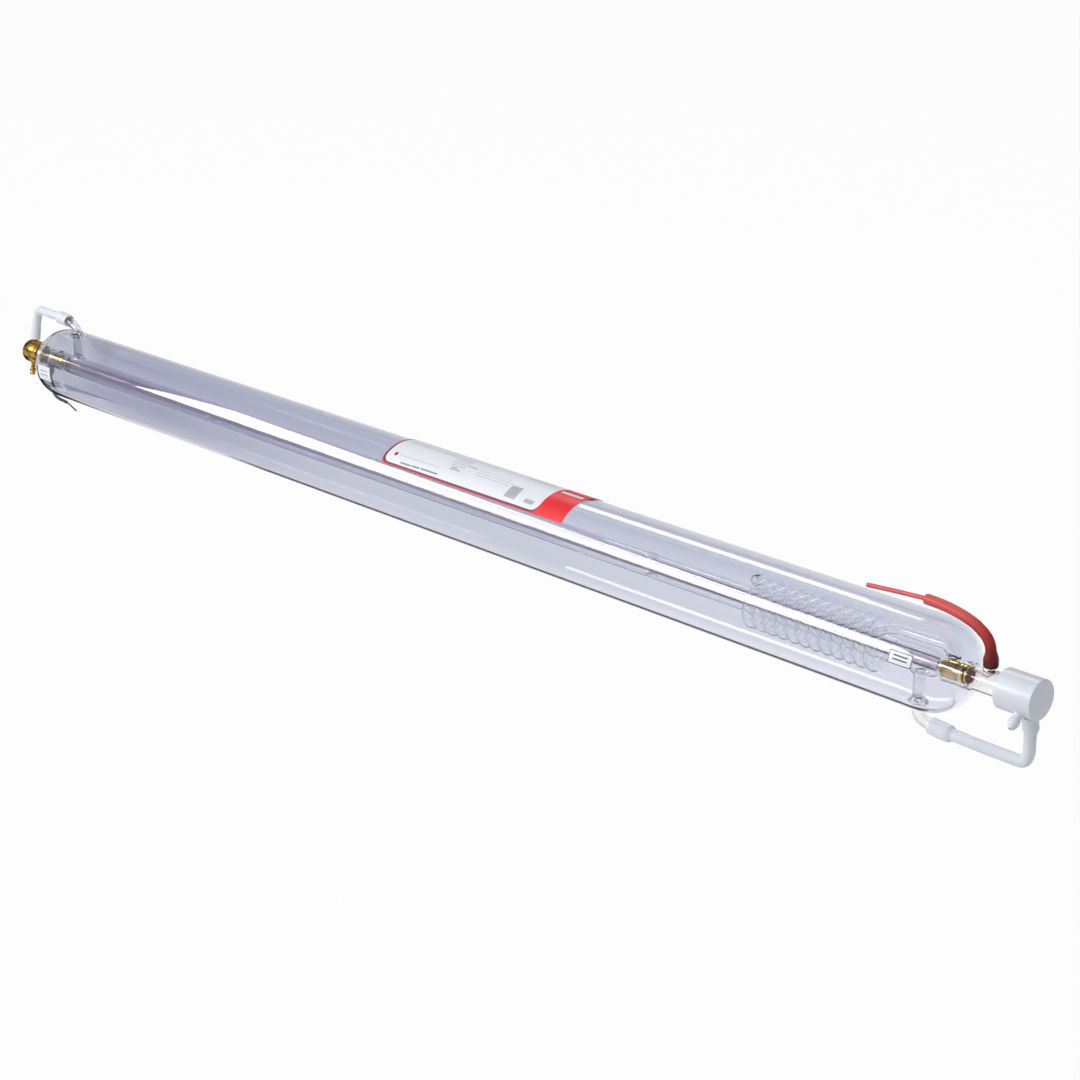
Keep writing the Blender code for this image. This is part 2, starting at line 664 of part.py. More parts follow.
def bezier(p0, p1, p2, p3, steps):
    """Points on a cubic curve, without its first."""
    points = []
    for step in range(1, steps + 1):
        t = step / steps
        s = 1 - t
        points.append(p0 * s ** 3 + p1 * 3 * s * s * t + p2 * 3 * s * t * t + p3 * t ** 3)
    return points


def coil_route():
    """From the open end at the top, round the back and on, to just before the last top."""
    radius = (COIL_DIAMETER - COIL_TUBE_DIAMETER) / 2
    start = ANODE_SHOULDER - COIL_END_TO_ANODE_SHOULDER - COIL_TURNS * COIL_PITCH
    steps = round(COIL_STEPS_PER_TURN * (COIL_TURNS - 0.125))
    route = []
    for step in range(steps + 1):
        turns = (COIL_TURNS - 0.125) * step / steps
        angle = math.pi / 2 - math.tau * turns
        route.append(Vector((start + COIL_PITCH * turns, radius * math.cos(angle),
                             radius * math.sin(angle))))
    return route, radius


def build_gas_return():
    route, radius = coil_route()
    heading = (route[-1] - route[-2]).normalized()
    run_start = Vector((ANODE_SHOULDER - COIL_END_TO_ANODE_SHOULDER + COIL_LEAD_OUT, 0, radius))
    pull = Vector((COIL_LEAD_OUT / 2, 0, 0))
    route += bezier(route[-1], route[-1] + heading * COIL_TUBE_DIAMETER,
                    run_start - pull, run_start, 5)
    port_middle, port_direction = gas_port()
    seat = END_BULB_DIAMETER / 2 + SEAT_GAP
    run_end = Vector((ANODE_SHOULDER + COIL_TUBE_DIAMETER / 2, 0, radius))
    last = port_middle - port_direction * COIL_TUBE_DIAMETER * 0.72
    route += bezier(run_end, run_end + pull, last - port_direction * COIL_TUBE_DIAMETER * 0.6,
                    last, 6)
    outer = rings_along(route, [COIL_TUBE_DIAMETER / 2] * len(route), COIL_SIDES)
    inner = rings_along(route, [COIL_TUBE_BORE / 2] * len(route), COIL_SIDES)
    outer.append([onto_cylinder(point, port_direction, seat) for point in outer[-1]])
    inner.append([onto_cylinder(point, port_direction, seat) for point in inner[-1]])
    skinned("gas_return_coil", outer + inner[::-1], CLEAR_GLASS)


def onto_cylinder(point, direction, wall_radius):
    """Carries a point along a direction onto a cylinder round the X axis."""
    a = direction.y ** 2 + direction.z ** 2
    b = point.y * direction.y + point.z * direction.z
    c = point.y ** 2 + point.z ** 2 - wall_radius ** 2
    return point + direction * ((-b - math.sqrt(max(b * b - a * c, 0.0))) / a)


# Rear mirror and cap

def radial(x, angle):
    """Places a piece turned about X so that it stands out from the axis, at an angle from down."""
    lean = math.radians(angle)
    return Matrix.Translation((x, 0, 0)) @ Matrix.Rotation(lean, 4, "X") @ Matrix.Rotation(
        math.pi / 2, 4, "Y")


def cap_nozzle_outline():
    """Olive-shaped hose nozzle, as distance from the cap's axis against radius."""
    root = CAP_DIAMETER / 2 * 0.80
    surface, tip = CAP_DIAMETER / 2, CAP_NOZZLE_TIP
    neck, barb = CAP_NOZZLE_NECK_RADIUS, CAP_NOZZLE_BARB_RADIUS
    olive = tip - surface
    return [(root, 0.0), (root, neck), (surface + olive * 0.22, neck),
            (surface + olive * 0.42, barb), (surface + olive * 0.68, barb * 0.98),
            (surface + olive * 0.90, barb * 0.80), (tip, barb * 0.58), (tip, 0.0)]


def build_rear_cap():
    outer, edge = CAP_DIAMETER / 2, CAP_EDGE_ROUNDING
    seat_radius = across_flats(NECK_DIAMETER / 2, METAL_SEGMENTS)
    seat_depth = CAP_GRIP + MIRROR_THICKNESS + 3 * SEAT_GAP
    outline = [(CAP_BACK, seat_radius), (CAP_BACK, outer - edge), (CAP_BACK + edge, outer),
               (CAP_FACE - edge, outer), (CAP_FACE - edge * 0.3, outer - edge * 0.3),
               (CAP_FACE, outer - edge), (CAP_FACE, 0.0), (CAP_BACK + seat_depth, 0.0),
               (CAP_BACK + seat_depth, seat_radius)]
    cap = turned("rear_cap", outline, WHITE_PLASTIC, METAL_SEGMENTS)
    for name, angle in (("bare", BARE_NOZZLE_ANGLE), ("hosed", HOSED_NOZZLE_ANGLE)):
        place = radial(CAP_NOZZLE_X, angle)
        nozzle = turned(name + "_nozzle", cap_nozzle_outline(), WHITE_PLASTIC, 16, place)
        combine(cap, nozzle, "UNION")
        far_end = place @ Vector((CAP_NOZZLE_TIP * 1.1, 0, 0))
        near_end = place @ Vector((CAP_NOZZLE_BORE_FLOOR, 0, 0))
        combine(cap, drill(name + "_bore", near_end, far_end, CAP_NOZZLE_BORE_RADIUS, 8))
    start = ANODE_NECK_END + SEAT_GAP
    mirror_radius = NECK_DIAMETER / 2
    turned("rear_mirror", [(start, 0.0), (start, mirror_radius - edge / 2),
                           (start + edge / 2, mirror_radius),
                           (start + MIRROR_THICKNESS, mirror_radius),
                           (start + MIRROR_THICKNESS, 0.0)], MIRROR_METAL, METAL_SEGMENTS)


# Output head

def build_output_head():
    back, face = HEAD_BACK, HEAD_FACE
    wide, collar = HEAD_DIAMETER / 2, HEAD_COLLAR_DIAMETER / 2
    neck_seat = across_flats(NECK_DIAMETER / 2, METAL_SEGMENTS)
    window_seat = across_flats(WINDOW_DIAMETER / 2, METAL_SEGMENTS)
    window_floor = face + WINDOW_THICKNESS + SEAT_GAP
    shoulder = back - HEAD_COLLAR_LENGTH
    rim = shoulder - HEAD_CONE_LENGTH
    groove = (back + shoulder) / 2
    chamfer = HEAD_GROOVE_DEPTH
    outline = [(back, neck_seat), (back, collar - chamfer), (back - chamfer, collar),
               (groove + chamfer, collar), (groove, collar - chamfer), (groove - chamfer, collar),
               (shoulder, collar), ((shoulder + rim) / 2, (wide + collar) / 2 + chamfer / 2),
               (rim, wide), (face + chamfer, wide), (face, wide - chamfer),
               (face, window_seat), (window_floor, window_seat), (window_floor, HEAD_APERTURE / 2),
               (CATHODE_NECK_END - SEAT_GAP, HEAD_APERTURE / 2),
               (CATHODE_NECK_END - SEAT_GAP, neck_seat)]
    head = turned("output_head", outline, BRASS, METAL_SEGMENTS)
    shank_hole = across_flats(BARB_SHANK_RADIUS, CUTTER_SEGMENTS)
    floor = wide - BARB_SHANK_LENGTH - SEAT_GAP
    for name, angle in (("upper_seat", UPPER_BARB_ANGLE), ("lower_seat", LOWER_BARB_ANGLE)):
        place = radial(BARB_X, angle)
        combine(head, drill(name, place @ Vector((floor, 0, 0)), place @ Vector((wide * 1.2, 0, 0)),
                            shank_hole))
    window_back = window_floor - SEAT_GAP
    turned("output_window", [(window_back, 0.0), (window_back, WINDOW_DIAMETER / 2),
                             (window_back - WINDOW_THICKNESS, WINDOW_DIAMETER / 2),
                             (window_back - WINDOW_THICKNESS, 0.0)], WINDOW_AMBER, METAL_SEGMENTS)
    ring_back = face - SEAT_GAP
    ring_front = ring_back - RETAINING_RING_THICKNESS
    ring_radius = RETAINING_RING_DIAMETER / 2
    turned("retaining_ring", [(ring_back, HEAD_APERTURE / 2), (ring_back, ring_radius),
                              (ring_front + chamfer, ring_radius),
                              (ring_front, ring_radius - chamfer),
                              (ring_front, HEAD_APERTURE / 2 + chamfer),
                              (ring_front + chamfer, HEAD_APERTURE / 2)], BRASS, METAL_SEGMENTS)


def build_barbs():
    """Turned brass hose barbs, screwed into the top and the bottom of the head."""
    surface = HEAD_DIAMETER / 2
    foot = surface - BARB_SHANK_LENGTH
    top = surface + BARB_SHANK_PROUD
    reach = BARB_TIP - top
    waist, widest = BARB_WAIST_RADIUS, BARB_RADIUS
    outline = [(foot, BARB_BORE_RADIUS), (foot, BARB_SHANK_RADIUS), (top, BARB_SHANK_RADIUS),
               (top, waist), (top + reach * 0.42, waist), (top + reach * 0.48, widest),
               (top + reach * 0.62, widest), (top + reach * 0.72, widest * 0.82),
               (top + reach * 0.78, widest * 0.94), (BARB_TIP, widest * 0.74),
               (BARB_TIP, BARB_BORE_RADIUS)]
    turned("upper_barb", outline, BRASS, CUTTER_SEGMENTS, radial(BARB_X, UPPER_BARB_ANGLE))
    turned("lower_barb", outline, BRASS, CUTTER_SEGMENTS, radial(BARB_X, LOWER_BARB_ANGLE))


# Glass water connections

def inlet_route():
    """Below the outer jacket: down, then round towards the cap."""
    low = JACKET_RADIUS + INLET_DROP
    return [(INLET_X, 0, -JACKET_RADIUS - WATER_GLASS_FLARE_HEIGHT * 0.1),
            (INLET_X, 0, -JACKET_RADIUS - INLET_DROP * 0.42),
            (INLET_X + INLET_REACH * 0.10, 0, -low + INLET_DROP * 0.22),
            (INLET_X + INLET_REACH * 0.34, 0, -low + 0.0002),
            (INLET_X + INLET_REACH * 0.64, 0, -low - 0.0012),
            (INLET_X + INLET_REACH, 0, -low - 0.0018)]


def outlet_route():
    """Above the outer jacket: up, then round towards the output head."""
    high = JACKET_RADIUS + OUTLET_RISE
    return [(OUTLET_X, 0, JACKET_RADIUS + WATER_GLASS_FLARE_HEIGHT * 0.1),
            (OUTLET_X - 0.0010, 0, JACKET_RADIUS + OUTLET_RISE * 0.26),
            (OUTLET_X - OUTLET_REACH * 0.20, 0, high - OUTLET_RISE * 0.38),
            (OUTLET_X - OUTLET_REACH * 0.46, 0, high - OUTLET_RISE * 0.12),
            (OUTLET_X - OUTLET_REACH * 0.72, 0, high - OUTLET_RISE * 0.02),
            (OUTLET_X - OUTLET_REACH, 0, high + 0.0004)]


def build_water_glass(name, x, up, route_points):
    """A glass tube from the water jacket, sealed through the outer jacket and bent outside it."""
    outer, bore = WATER_GLASS_DIAMETER / 2, WATER_GLASS_BORE / 2
    flare, height = WATER_GLASS_FLARE_RADIUS, WATER_GLASS_FLARE_HEIGHT
    seat = WATER_JACKET_DIAMETER / 2 + 2 * SEAT_GAP
    wall = JACKET_RADIUS - JACKET_WALL - 2 * SEAT_GAP
    sides = WATER_GLASS_SIDES
    outside = [seated_ring(x, up, flare, 0.0, seat, sides)]
    for share in (0.35, 0.7, 1.0):
        radius = outer + (flare - outer) * (1 - share) ** 2
        outside.append(seated_ring(x, up, radius, 0.0, seat, sides, share, seat + height * share))
    for share in (0.0, 0.5, 0.8):
        radius = outer + (flare - outer) * share ** 2
        level = wall - height * (1 - share)
        outside.append(seated_ring(x, up, radius, -height * (1 - share), wall, sides,
                                   1 - share, level))
    outside.append(seated_ring(x, up, flare, 0.0, wall, sides))
    outside.append(seated_ring(x, up, outer, 0.0, wall, sides))
    route = smooth_route(route_points, WATER_GLASS_SPACING)
    outside += rings_along(route, [outer] * len(route), sides)
    inside = [seated_ring(x, up, (flare + bore) / 2, 0.0, seat, sides),
              seated_ring(x, up, bore, 0.0, seat, sides)]
    inside += rings_along(route, [bore] * len(route), sides)
    skinned(name, outside + inside[::-1], CLEAR_GLASS)


def build_water_glasses():
    build_water_glass("inlet_elbow", INLET_X, -1, inlet_route())
    build_water_glass("outlet_gooseneck", OUTLET_X, 1, outlet_route())


# Silicone hoses

def hose_radii(route, glass_lap, barb_lap, barb_radius):
    """Outer and inner radii along a hose, stretched over the glass at its start and a barb."""
    distances = route_distances(route)
    total = distances[-1]
    fit = WATER_GLASS_DIAMETER / 2
    outer_radii, inner_radii = [], []
    for distance in distances:
        on_glass = 1 - ease((distance - glass_lap) / HOSE_RADIUS)
        on_barb = ease((distance - (total - barb_lap - HOSE_RADIUS)) / HOSE_RADIUS)
        inner = HOSE_BORE / 2
        inner += (across_flats(fit, HOSE_SIDES) - inner) * on_glass
        inner += (across_flats(barb_radius, HOSE_SIDES) - inner) * on_barb
        wall = HOSE_RADIUS - HOSE_BORE / 2
        wall += (HOSE_STRETCHED_WALL - wall) * max(on_glass, on_barb)
        inner_radii.append(inner)
        outer_radii.append(inner + wall)
    return outer_radii, inner_radii


def hose_route(glass_points, beyond):
    """Starts on the glass's own points, so that the hose lies on it, then runs on through others."""
    glass = smooth_route(glass_points, WATER_GLASS_SPACING)
    distances = route_distances(glass)
    lap_start = distances[-1] - HOSE_LAP_ON_GLASS
    lapped = [point for point, along in zip(glass, distances) if along > lap_start]
    before = glass[len(glass) - len(lapped) - 1]
    heading = (lapped[1] - before).normalized()
    onward = smooth_route([lapped[-2], lapped[-1], *beyond], HOSE_SPACING)
    clear = (lapped[-1] - lapped[-2]).length + HOSE_SPACING / 2
    distances = route_distances(onward)
    route = lapped + [point for point, along in zip(onward, distances) if along > clear]
    return route, heading


def inlet_hose_route():
    """From over the inlet elbow, along below the neck, and up onto the cap's hosed nozzle."""
    lean = math.radians(HOSED_NOZZLE_ANGLE)
    nozzle = Vector((0, math.sin(lean), -math.cos(lean)))
    station = Vector((CAP_NOZZLE_X, 0, 0))
    tip = station + nozzle * CAP_NOZZLE_TIP
    top = station + nozzle * (CAP_NOZZLE_TIP - HOSE_LAP_ON_CAP_NOZZLE)
    low = -JACKET_RADIUS - INLET_DROP
    start = INLET_X + INLET_REACH
    span = tip.x - start
    route = [Vector((start + span * 0.20, 0, low - 0.0020)),
             Vector((start + span * 0.45, tip.y * 0.3, low - 0.0036)),
             Vector((start + span * 0.70, tip.y * 0.7, low - 0.0052)),
             Vector((tip.x - 0.0090, tip.y * 0.95, low - 0.0062)),
             Vector((tip.x - 0.0030, tip.y, low - 0.0046)),
             Vector((tip.x, tip.y * 1.02, low + 0.0020)),
             Vector((tip.x, tip.y * 1.02, low + 0.0110)),
             tip, tip.lerp(top, 0.5), top]
    return hose_route(inlet_route(), route)


def outlet_hose_route():
    """From over the outlet gooseneck, along above the neck, and down onto the upper barb."""
    place = radial(BARB_X, UPPER_BARB_ANGLE)
    tip = place @ Vector((BARB_TIP, 0, 0))
    foot = place @ Vector((BARB_TIP - HOSE_LAP_ON_BARB, 0, 0))
    high = JACKET_RADIUS + OUTLET_RISE
    span = OUTLET_X - OUTLET_REACH - tip.x
    route = [Vector((tip.x + span * 0.75, tip.y * 0.2, high + 0.0002)),
             Vector((tip.x + span * 0.45, tip.y * 0.5, high - 0.0002)),
             Vector((tip.x + 0.0145, tip.y * 0.9, high - 0.0010)),
             Vector((tip.x + 0.0070, tip.y * 1.1, high - 0.0052)),
             Vector((tip.x + 0.0030, tip.y * 1.2, high - 0.0125)),
             tip, tip.lerp(foot, 0.5), foot]
    return hose_route(outlet_route(), route)


def build_hoses():
    for name, (route, heading), lap, barb_radius in (
            ("inlet_hose", inlet_hose_route(), HOSE_LAP_ON_CAP_NOZZLE, CAP_NOZZLE_BARB_RADIUS),
            ("outlet_hose", outlet_hose_route(), HOSE_LAP_ON_BARB, BARB_RADIUS)):
        outer, inner = hose_radii(route, HOSE_LAP_ON_GLASS, lap, barb_radius)
        hollow_tube(name, route, outer, inner, HOSE_SIDES, SILICONE, heading)


# Leads: each free cord keeps its own hand-chosen route

HV_ROUTE = [(0.6785, 0.0, 0.0130), (0.6783, 0.0, 0.0190), (0.6778, 0.0, 0.0250),
            (0.6765, 0.0, 0.0305), (0.6733, 0.0, 0.0356), (0.6678, 0.0, 0.0400),
            (0.6606, 0.0, 0.0438), (0.6517, 0.0, 0.0467), (0.6435, 0.0, 0.0485),
            (0.6345, 0.0, 0.0499), (0.6250, 0.0, 0.0507), (0.6145, 0.0, 0.0510),
            (0.6085, 0.0, 0.0508), (0.5988, 0.0, 0.0501), (0.5867, 0.0, 0.0493),
            (0.5719, 0.0, 0.0481), (0.5569, 0.0, 0.0468)]
HV_SLEEVE_POINTS = 12
EARTH_ROUTE = [(-0.6640, 0.0, -0.0130), (-0.6640, 0.0, -0.0220), (-0.6636, 0.0, -0.0310),
               (-0.6612, 0.0, -0.0400), (-0.6555, 0.0, -0.0468), (-0.6465, 0.0, -0.0492),
               (-0.6390, 0.0, -0.0496), (-0.6317, 0.0, -0.0502), (-0.6250, 0.0, -0.0520),
               (-0.6185, 0.0, -0.0542), (-0.6121, 0.0, -0.0564)]
EARTH_SLEEVE_POINTS = 8


def build_sleeve(name, points, mouth, diameter, bore, material):
    """A push-on sleeve that opens out over the pin's glass seal."""
    route = smooth_route(points, max(diameter * 0.8, EARTH_SLEEVE_MOUTH_DIAMETER / 2))
    clear = across_flats(PIN_SEAL_STEM_RADIUS, HOSE_SIDES)
    opening = PIN_SEAL_HEIGHT * 0.72
    outer_radii, inner_radii = [], []
    for distance in route_distances(route):
        share = 1 - ease((distance - opening) / PIN_SEAL_HEIGHT)
        inner_radii.append(bore / 2 + (clear - bore / 2) * share)
        outer_radii.append(diameter / 2 + (mouth / 2 - diameter / 2) * share)
    hollow_tube(name, route, outer_radii, inner_radii, HOSE_SIDES, material)


def build_lead(name, route, diameter, material):
    """A wire as a plain curve with a round section and closed ends."""
    curve = bpy.data.curves.new(name, "CURVE")
    curve.dimensions = "3D"
    curve.bevel_depth = diameter / 2
    curve.bevel_resolution = 2
    curve.use_fill_caps = True
    spline = curve.splines.new("POLY")
    spline.points.add(len(route) - 1)
    for point, place in zip(spline.points, route):
        point.co = (*place, 1.0)
    curve.materials.append(material)
    bpy.context.scene.collection.objects.link(bpy.data.objects.new(name, curve))


def above_pin(route, pin_end):
    """The part of a lead's route that starts clear of the end of its pin."""
    return [point for point in route if abs(point.z) > pin_end + SEAT_GAP or
            abs(point.x - route[0].x) > PIN_DIAMETER]


def build_leads():
    build_sleeve("hv_sleeve", HV_ROUTE[:HV_SLEEVE_POINTS], HV_SLEEVE_MOUTH_DIAMETER,
                 HV_SLEEVE_DIAMETER, HV_SLEEVE_BORE, RED_SILICONE)
    build_sleeve("earth_sleeve", EARTH_ROUTE[:EARTH_SLEEVE_POINTS], EARTH_SLEEVE_MOUTH_DIAMETER,
                 EARTH_SLEEVE_DIAMETER, EARTH_SLEEVE_BORE, BLACK_RUBBER)
    hv = above_pin(smooth_route(HV_ROUTE, HV_LEAD_DIAMETER * 2), PIN_TOP)
    earth = above_pin(smooth_route(EARTH_ROUTE, EARTH_LEAD_DIAMETER * 2.5), PIN_TOP)
    build_lead("hv_lead", hv, HV_LEAD_DIAMETER, RED_SILICONE)
    build_lead("earth_lead", earth, EARTH_LEAD_DIAMETER, BLACK_RUBBER)


# Stickers on the outer jacket

def sticker_point(x, angle, lift):
    """A point over the outer jacket, at an angle up from the camera's side of the tube."""
    turn = math.radians(angle)
    radius = jacket_radius(x) + lift
    return Vector((x, -radius * math.cos(turn), radius * math.sin(turn)))


def build_sticker(name, start, end, lower, upper, columns, rows):
    """A thin sheet wrapped onto the jacket, from one place to another and between two angles."""
    bottom = SEAT_GAP
    top = bottom + STICKER_THICKNESS
    bm = bmesh.new()
    sheets = []
    for lift in (bottom, top):
        sheet = []
        for column in range(columns + 1):
            x = start + (end - start) * column / columns
            angles = [lower + (upper - lower) * row / rows for row in range(rows + 1)]
            sheet.append([bm.verts.new(sticker_point(x, angle, lift)) for angle in angles])
        sheets.append(sheet)
        for column in range(columns):
            for row in range(rows):
                bm.faces.new((sheet[column][row], sheet[column + 1][row],
                              sheet[column + 1][row + 1], sheet[column][row + 1]))
    rim = [edge for edge in bm.edges if edge.is_boundary]
    bmesh.ops.bridge_loops(bm, edges=rim)
    return finish(bm, name, STICKER_WHITE)


def build_stickers():
    build_sticker("rating_label", RATING_LABEL_START, RATING_LABEL_START + RATING_LABEL_LENGTH,
                  RATING_LABEL_LOWER_ANGLE, RATING_LABEL_UPPER_ANGLE, 2, 14)
    inlet_end = ANODE_SHOULDER + TAG_PAST_ANODE_SHOULDER
    build_sticker("inlet_tag", inlet_end - INLET_TAG_LENGTH, inlet_end,
                  INLET_TAG_LOWER_ANGLE, INLET_TAG_UPPER_ANGLE, 6, 3)
    outlet_start = CATHODE_SHOULDER - TAG_PAST_CATHODE_SHOULDER
    build_sticker("outlet_tag", outlet_start, outlet_start + OUTLET_TAG_LENGTH,
                  OUTLET_TAG_LOWER_ANGLE, OUTLET_TAG_UPPER_ANGLE, 5, 4)


build_outer_jacket()
build_water_jacket()
build_discharge_tube()
build_bulbs()
build_electrodes()
build_gas_return()
build_rear_cap()
build_output_head()
build_barbs()
build_water_glasses()
build_hoses()
build_leads()
build_stickers()
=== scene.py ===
"""Looks of the sealed glass laser tube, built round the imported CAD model.

Lengths are in metres, in the frame of the CAD model: the tube's axis is the X axis, +X is the
high-voltage end, -X the output end, and +Z is up. The photograph was taken from the -Y side, from
above and from beyond the high-voltage end.
"""

import math
from itertools import accumulate

import bmesh
import bpy
from mathutils import Matrix, Quaternion, Vector


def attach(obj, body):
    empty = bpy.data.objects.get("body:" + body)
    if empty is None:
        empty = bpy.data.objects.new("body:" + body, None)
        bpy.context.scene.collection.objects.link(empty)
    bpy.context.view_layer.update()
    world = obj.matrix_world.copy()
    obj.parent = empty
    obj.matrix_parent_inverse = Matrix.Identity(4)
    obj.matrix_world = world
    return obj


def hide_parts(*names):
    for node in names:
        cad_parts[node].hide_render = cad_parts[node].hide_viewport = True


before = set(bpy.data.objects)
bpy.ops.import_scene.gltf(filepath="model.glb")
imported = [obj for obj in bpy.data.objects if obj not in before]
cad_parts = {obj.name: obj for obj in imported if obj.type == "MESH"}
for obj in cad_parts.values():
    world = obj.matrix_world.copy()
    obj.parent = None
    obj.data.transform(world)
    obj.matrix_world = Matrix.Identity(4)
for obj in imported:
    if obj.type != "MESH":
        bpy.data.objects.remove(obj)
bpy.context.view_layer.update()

SEAT_GAP = 0.0003
SHARP_ANGLE = math.radians(35.0)

# Outer jacket
JACKET_RADIUS = 0.040
JACKET_WALL = 0.0024
ANODE_SHOULDER = 0.616
CATHODE_SHOULDER = -0.616
ANODE_DOME_LENGTH = 0.0424
CATHODE_DOME_LENGTH = 0.030
DOME_ROUNDNESS = 2.3
DOME_HOLE_RADIUS = 0.0113
HOLE_MARGIN = 0.010
RING_SEAL_RADIUS = DOME_HOLE_RADIUS + 0.0020
ANODE_DOME_END = ANODE_SHOULDER + ANODE_DOME_LENGTH
CATHODE_DOME_END = CATHODE_SHOULDER - CATHODE_DOME_LENGTH

# Water jacket and discharge tube
WATER_JACKET_RADIUS = 0.011
WATER_JACKET_WALL = 0.0008
WATER_JACKET_ANODE_END = 0.633
WATER_JACKET_CATHODE_END = -0.617
END_ROUNDING = 0.0056
DISCHARGE_TUBE_RADIUS = 0.0054
DISCHARGE_BORE_RADIUS = 0.0040
DISCHARGE_TUBE_PROUD = 0.0022
DISCHARGE_HOLE_RADIUS = DISCHARGE_TUBE_RADIUS + SEAT_GAP
DIMPLE_STATIONS = (-0.330, 0.323)
DIMPLES_AROUND = 4
DIMPLE_WIDTH = 0.0042
DIMPLE_DEPTH = WATER_JACKET_RADIUS - WATER_JACKET_WALL - DISCHARGE_HOLE_RADIUS

# End bulbs and necks
BULB_RADIUS = 0.011
BULB_PAST_DOME = 0.0050
NECK_RADIUS = 0.010
NECK_TAPER = 0.0040
BULB_WALL = 0.0015
ANODE_NECK_END = 0.700
CATHODE_NECK_END = -0.690

# Electrodes (inner end, outer end, radius), pins and pin seals
ANODE_ELECTRODE = (0.6362, 0.6607, 0.00775)
CATHODE_ELECTRODE = (-0.6202, -0.6522, 0.0065)
ELECTRODE_WALL = 0.0008
CATHODE_GROOVES = 4
GROOVE_WIDTH = 0.0022
GROOVE_DEPTH = 0.0004
PIN_RADIUS = 0.00075
PIN_TOP = 0.0202
PIN_LAP = 0.0045
ANODE_PIN_X = 0.6785
CATHODE_PIN_X = -0.6640
SEAL_FOOT_RADIUS = 0.0078
SEAL_STEM_RADIUS = 0.0040
SEAL_FOOT_HEIGHT = 0.0026
SEAL_HEIGHT = 0.0080

# Gas return coil
COIL_TUBE_RADIUS = 0.0045
COIL_BORE_RADIUS = 0.0034
COIL_RADIUS = 0.0185
COIL_START = 0.43996
COIL_PITCH = 0.01167
COIL_TURNS = 11.875
COIL_RUN_START = 0.598
COIL_BEND = 0.009
GAS_PORT = Vector((0.6438, 0, BULB_RADIUS))
GAS_PORT_SLOPE = math.radians(50.0)
GAS_PORT_DIRECTION = Vector((math.cos(GAS_PORT_SLOPE), 0, -math.sin(GAS_PORT_SLOPE)))

# Rear cap and mirror
CAP_RADIUS = 0.0166
CAP_BACK = 0.6924
CAP_FACE = 0.7260
CAP_SEAT_DEPTH = 0.0135
CAP_NOZZLE_X = 0.7140
CAP_NOZZLE_TIP = 0.0296
CAP_NOZZLE_NECK = 0.0035
CAP_NOZZLE_OLIVE = 0.0045
CAP_NOZZLE_BORE = 0.0018
NOZZLE_FILLET_DEPTH = 0.0006
NOZZLE_FILLET_LENGTH = 0.0022
NOZZLE_FILLET_WIDTH = 0.0014
BARE_NOZZLE_ANGLE = math.radians(-45.0)
HOSED_NOZZLE_ANGLE = math.radians(13.0)
MIRROR_THICKNESS = 0.005

# Output head, window, ring and barbs
HEAD_BACK = -0.676
HEAD_FACE = -0.7007
HEAD_RADIUS = 0.0135
COLLAR_RADIUS = 0.0120
COLLAR_LENGTH = 0.006
HEAD_CONE_LENGTH = 0.0105
HEAD_GROOVE_DEPTH = 0.0006
HEAD_TURN = math.radians(10.0)
APERTURE_RADIUS = 0.0075
WINDOW_RADIUS = 0.0096
WINDOW_THICKNESS = 0.004
RING_RADIUS = 0.0112
RING_THICKNESS = 0.0033
BARB_X = -0.6960
BARB_TIP = 0.0283
BARB_RADIUS = 0.0037
BARB_WAIST = 0.0025
BARB_SHANK_RADIUS = 0.0031
BARB_BORE = 0.0016
BARB_ROOT_DEPTH = 0.0022
BARB_HOLE_DEPTH = 0.0025
BARB_COLLAR_HEIGHT = 0.0012
BARB_ANGLES = (("upper_barb", math.pi - HEAD_TURN), ("lower_barb", -HEAD_TURN))

# Glass water connections and silicone hoses
WATER_GLASS_RADIUS = 0.0050
WATER_GLASS_BORE = 0.0035
WATER_GLASS_FLARE = 0.0086
WATER_GLASS_FLARE_HEIGHT = 0.0070
WATER_GLASS_SPACING = 0.0016
OUTER_FILLET = 0.0030
SEATED_SIDES = 48
INLET_X = 0.6134
OUTLET_X = -0.5970
INLET_ROUTE = [Vector((x, 0, z)) for x, z in (
    (0.6134, -0.0407), (0.6134, -0.04525), (0.6164, -0.04975), (0.6236, -0.0523),
    (0.6326, -0.0537), (0.6434, -0.0543))]
OUTLET_ROUTE = [Vector((x, 0, z)) for x, z in (
    (-0.5970, 0.0407), (-0.5980, 0.04325), (-0.6036, 0.04775), (-0.6122, 0.0510),
    (-0.6208, 0.05225), (-0.6300, 0.0529))]
HOSE_RADIUS = 0.0050
HOSE_BORE_RADIUS = 0.0030
HOSE_STRETCHED_WALL = 0.0018
HOSE_RIM = 0.0010
HOSE_RIM_DROP = 0.0003
HOSE_SPACING = 0.0010
HOSE_POST_SPACING = 0.0040
HOSE_SIDES = 40
HOSE_LAP_ON_GLASS = 0.018
HOSE_LAP_ON_NOZZLE = 0.0115
HOSE_LAP_ON_BARB = 0.0140
INLET_HOSE_START = INLET_X + 0.030
INLET_HOSE_LEVEL = -0.0525
OUTLET_HOSE_START = OUTLET_X - 0.033
OUTLET_HOSE_LEVEL = 0.0525

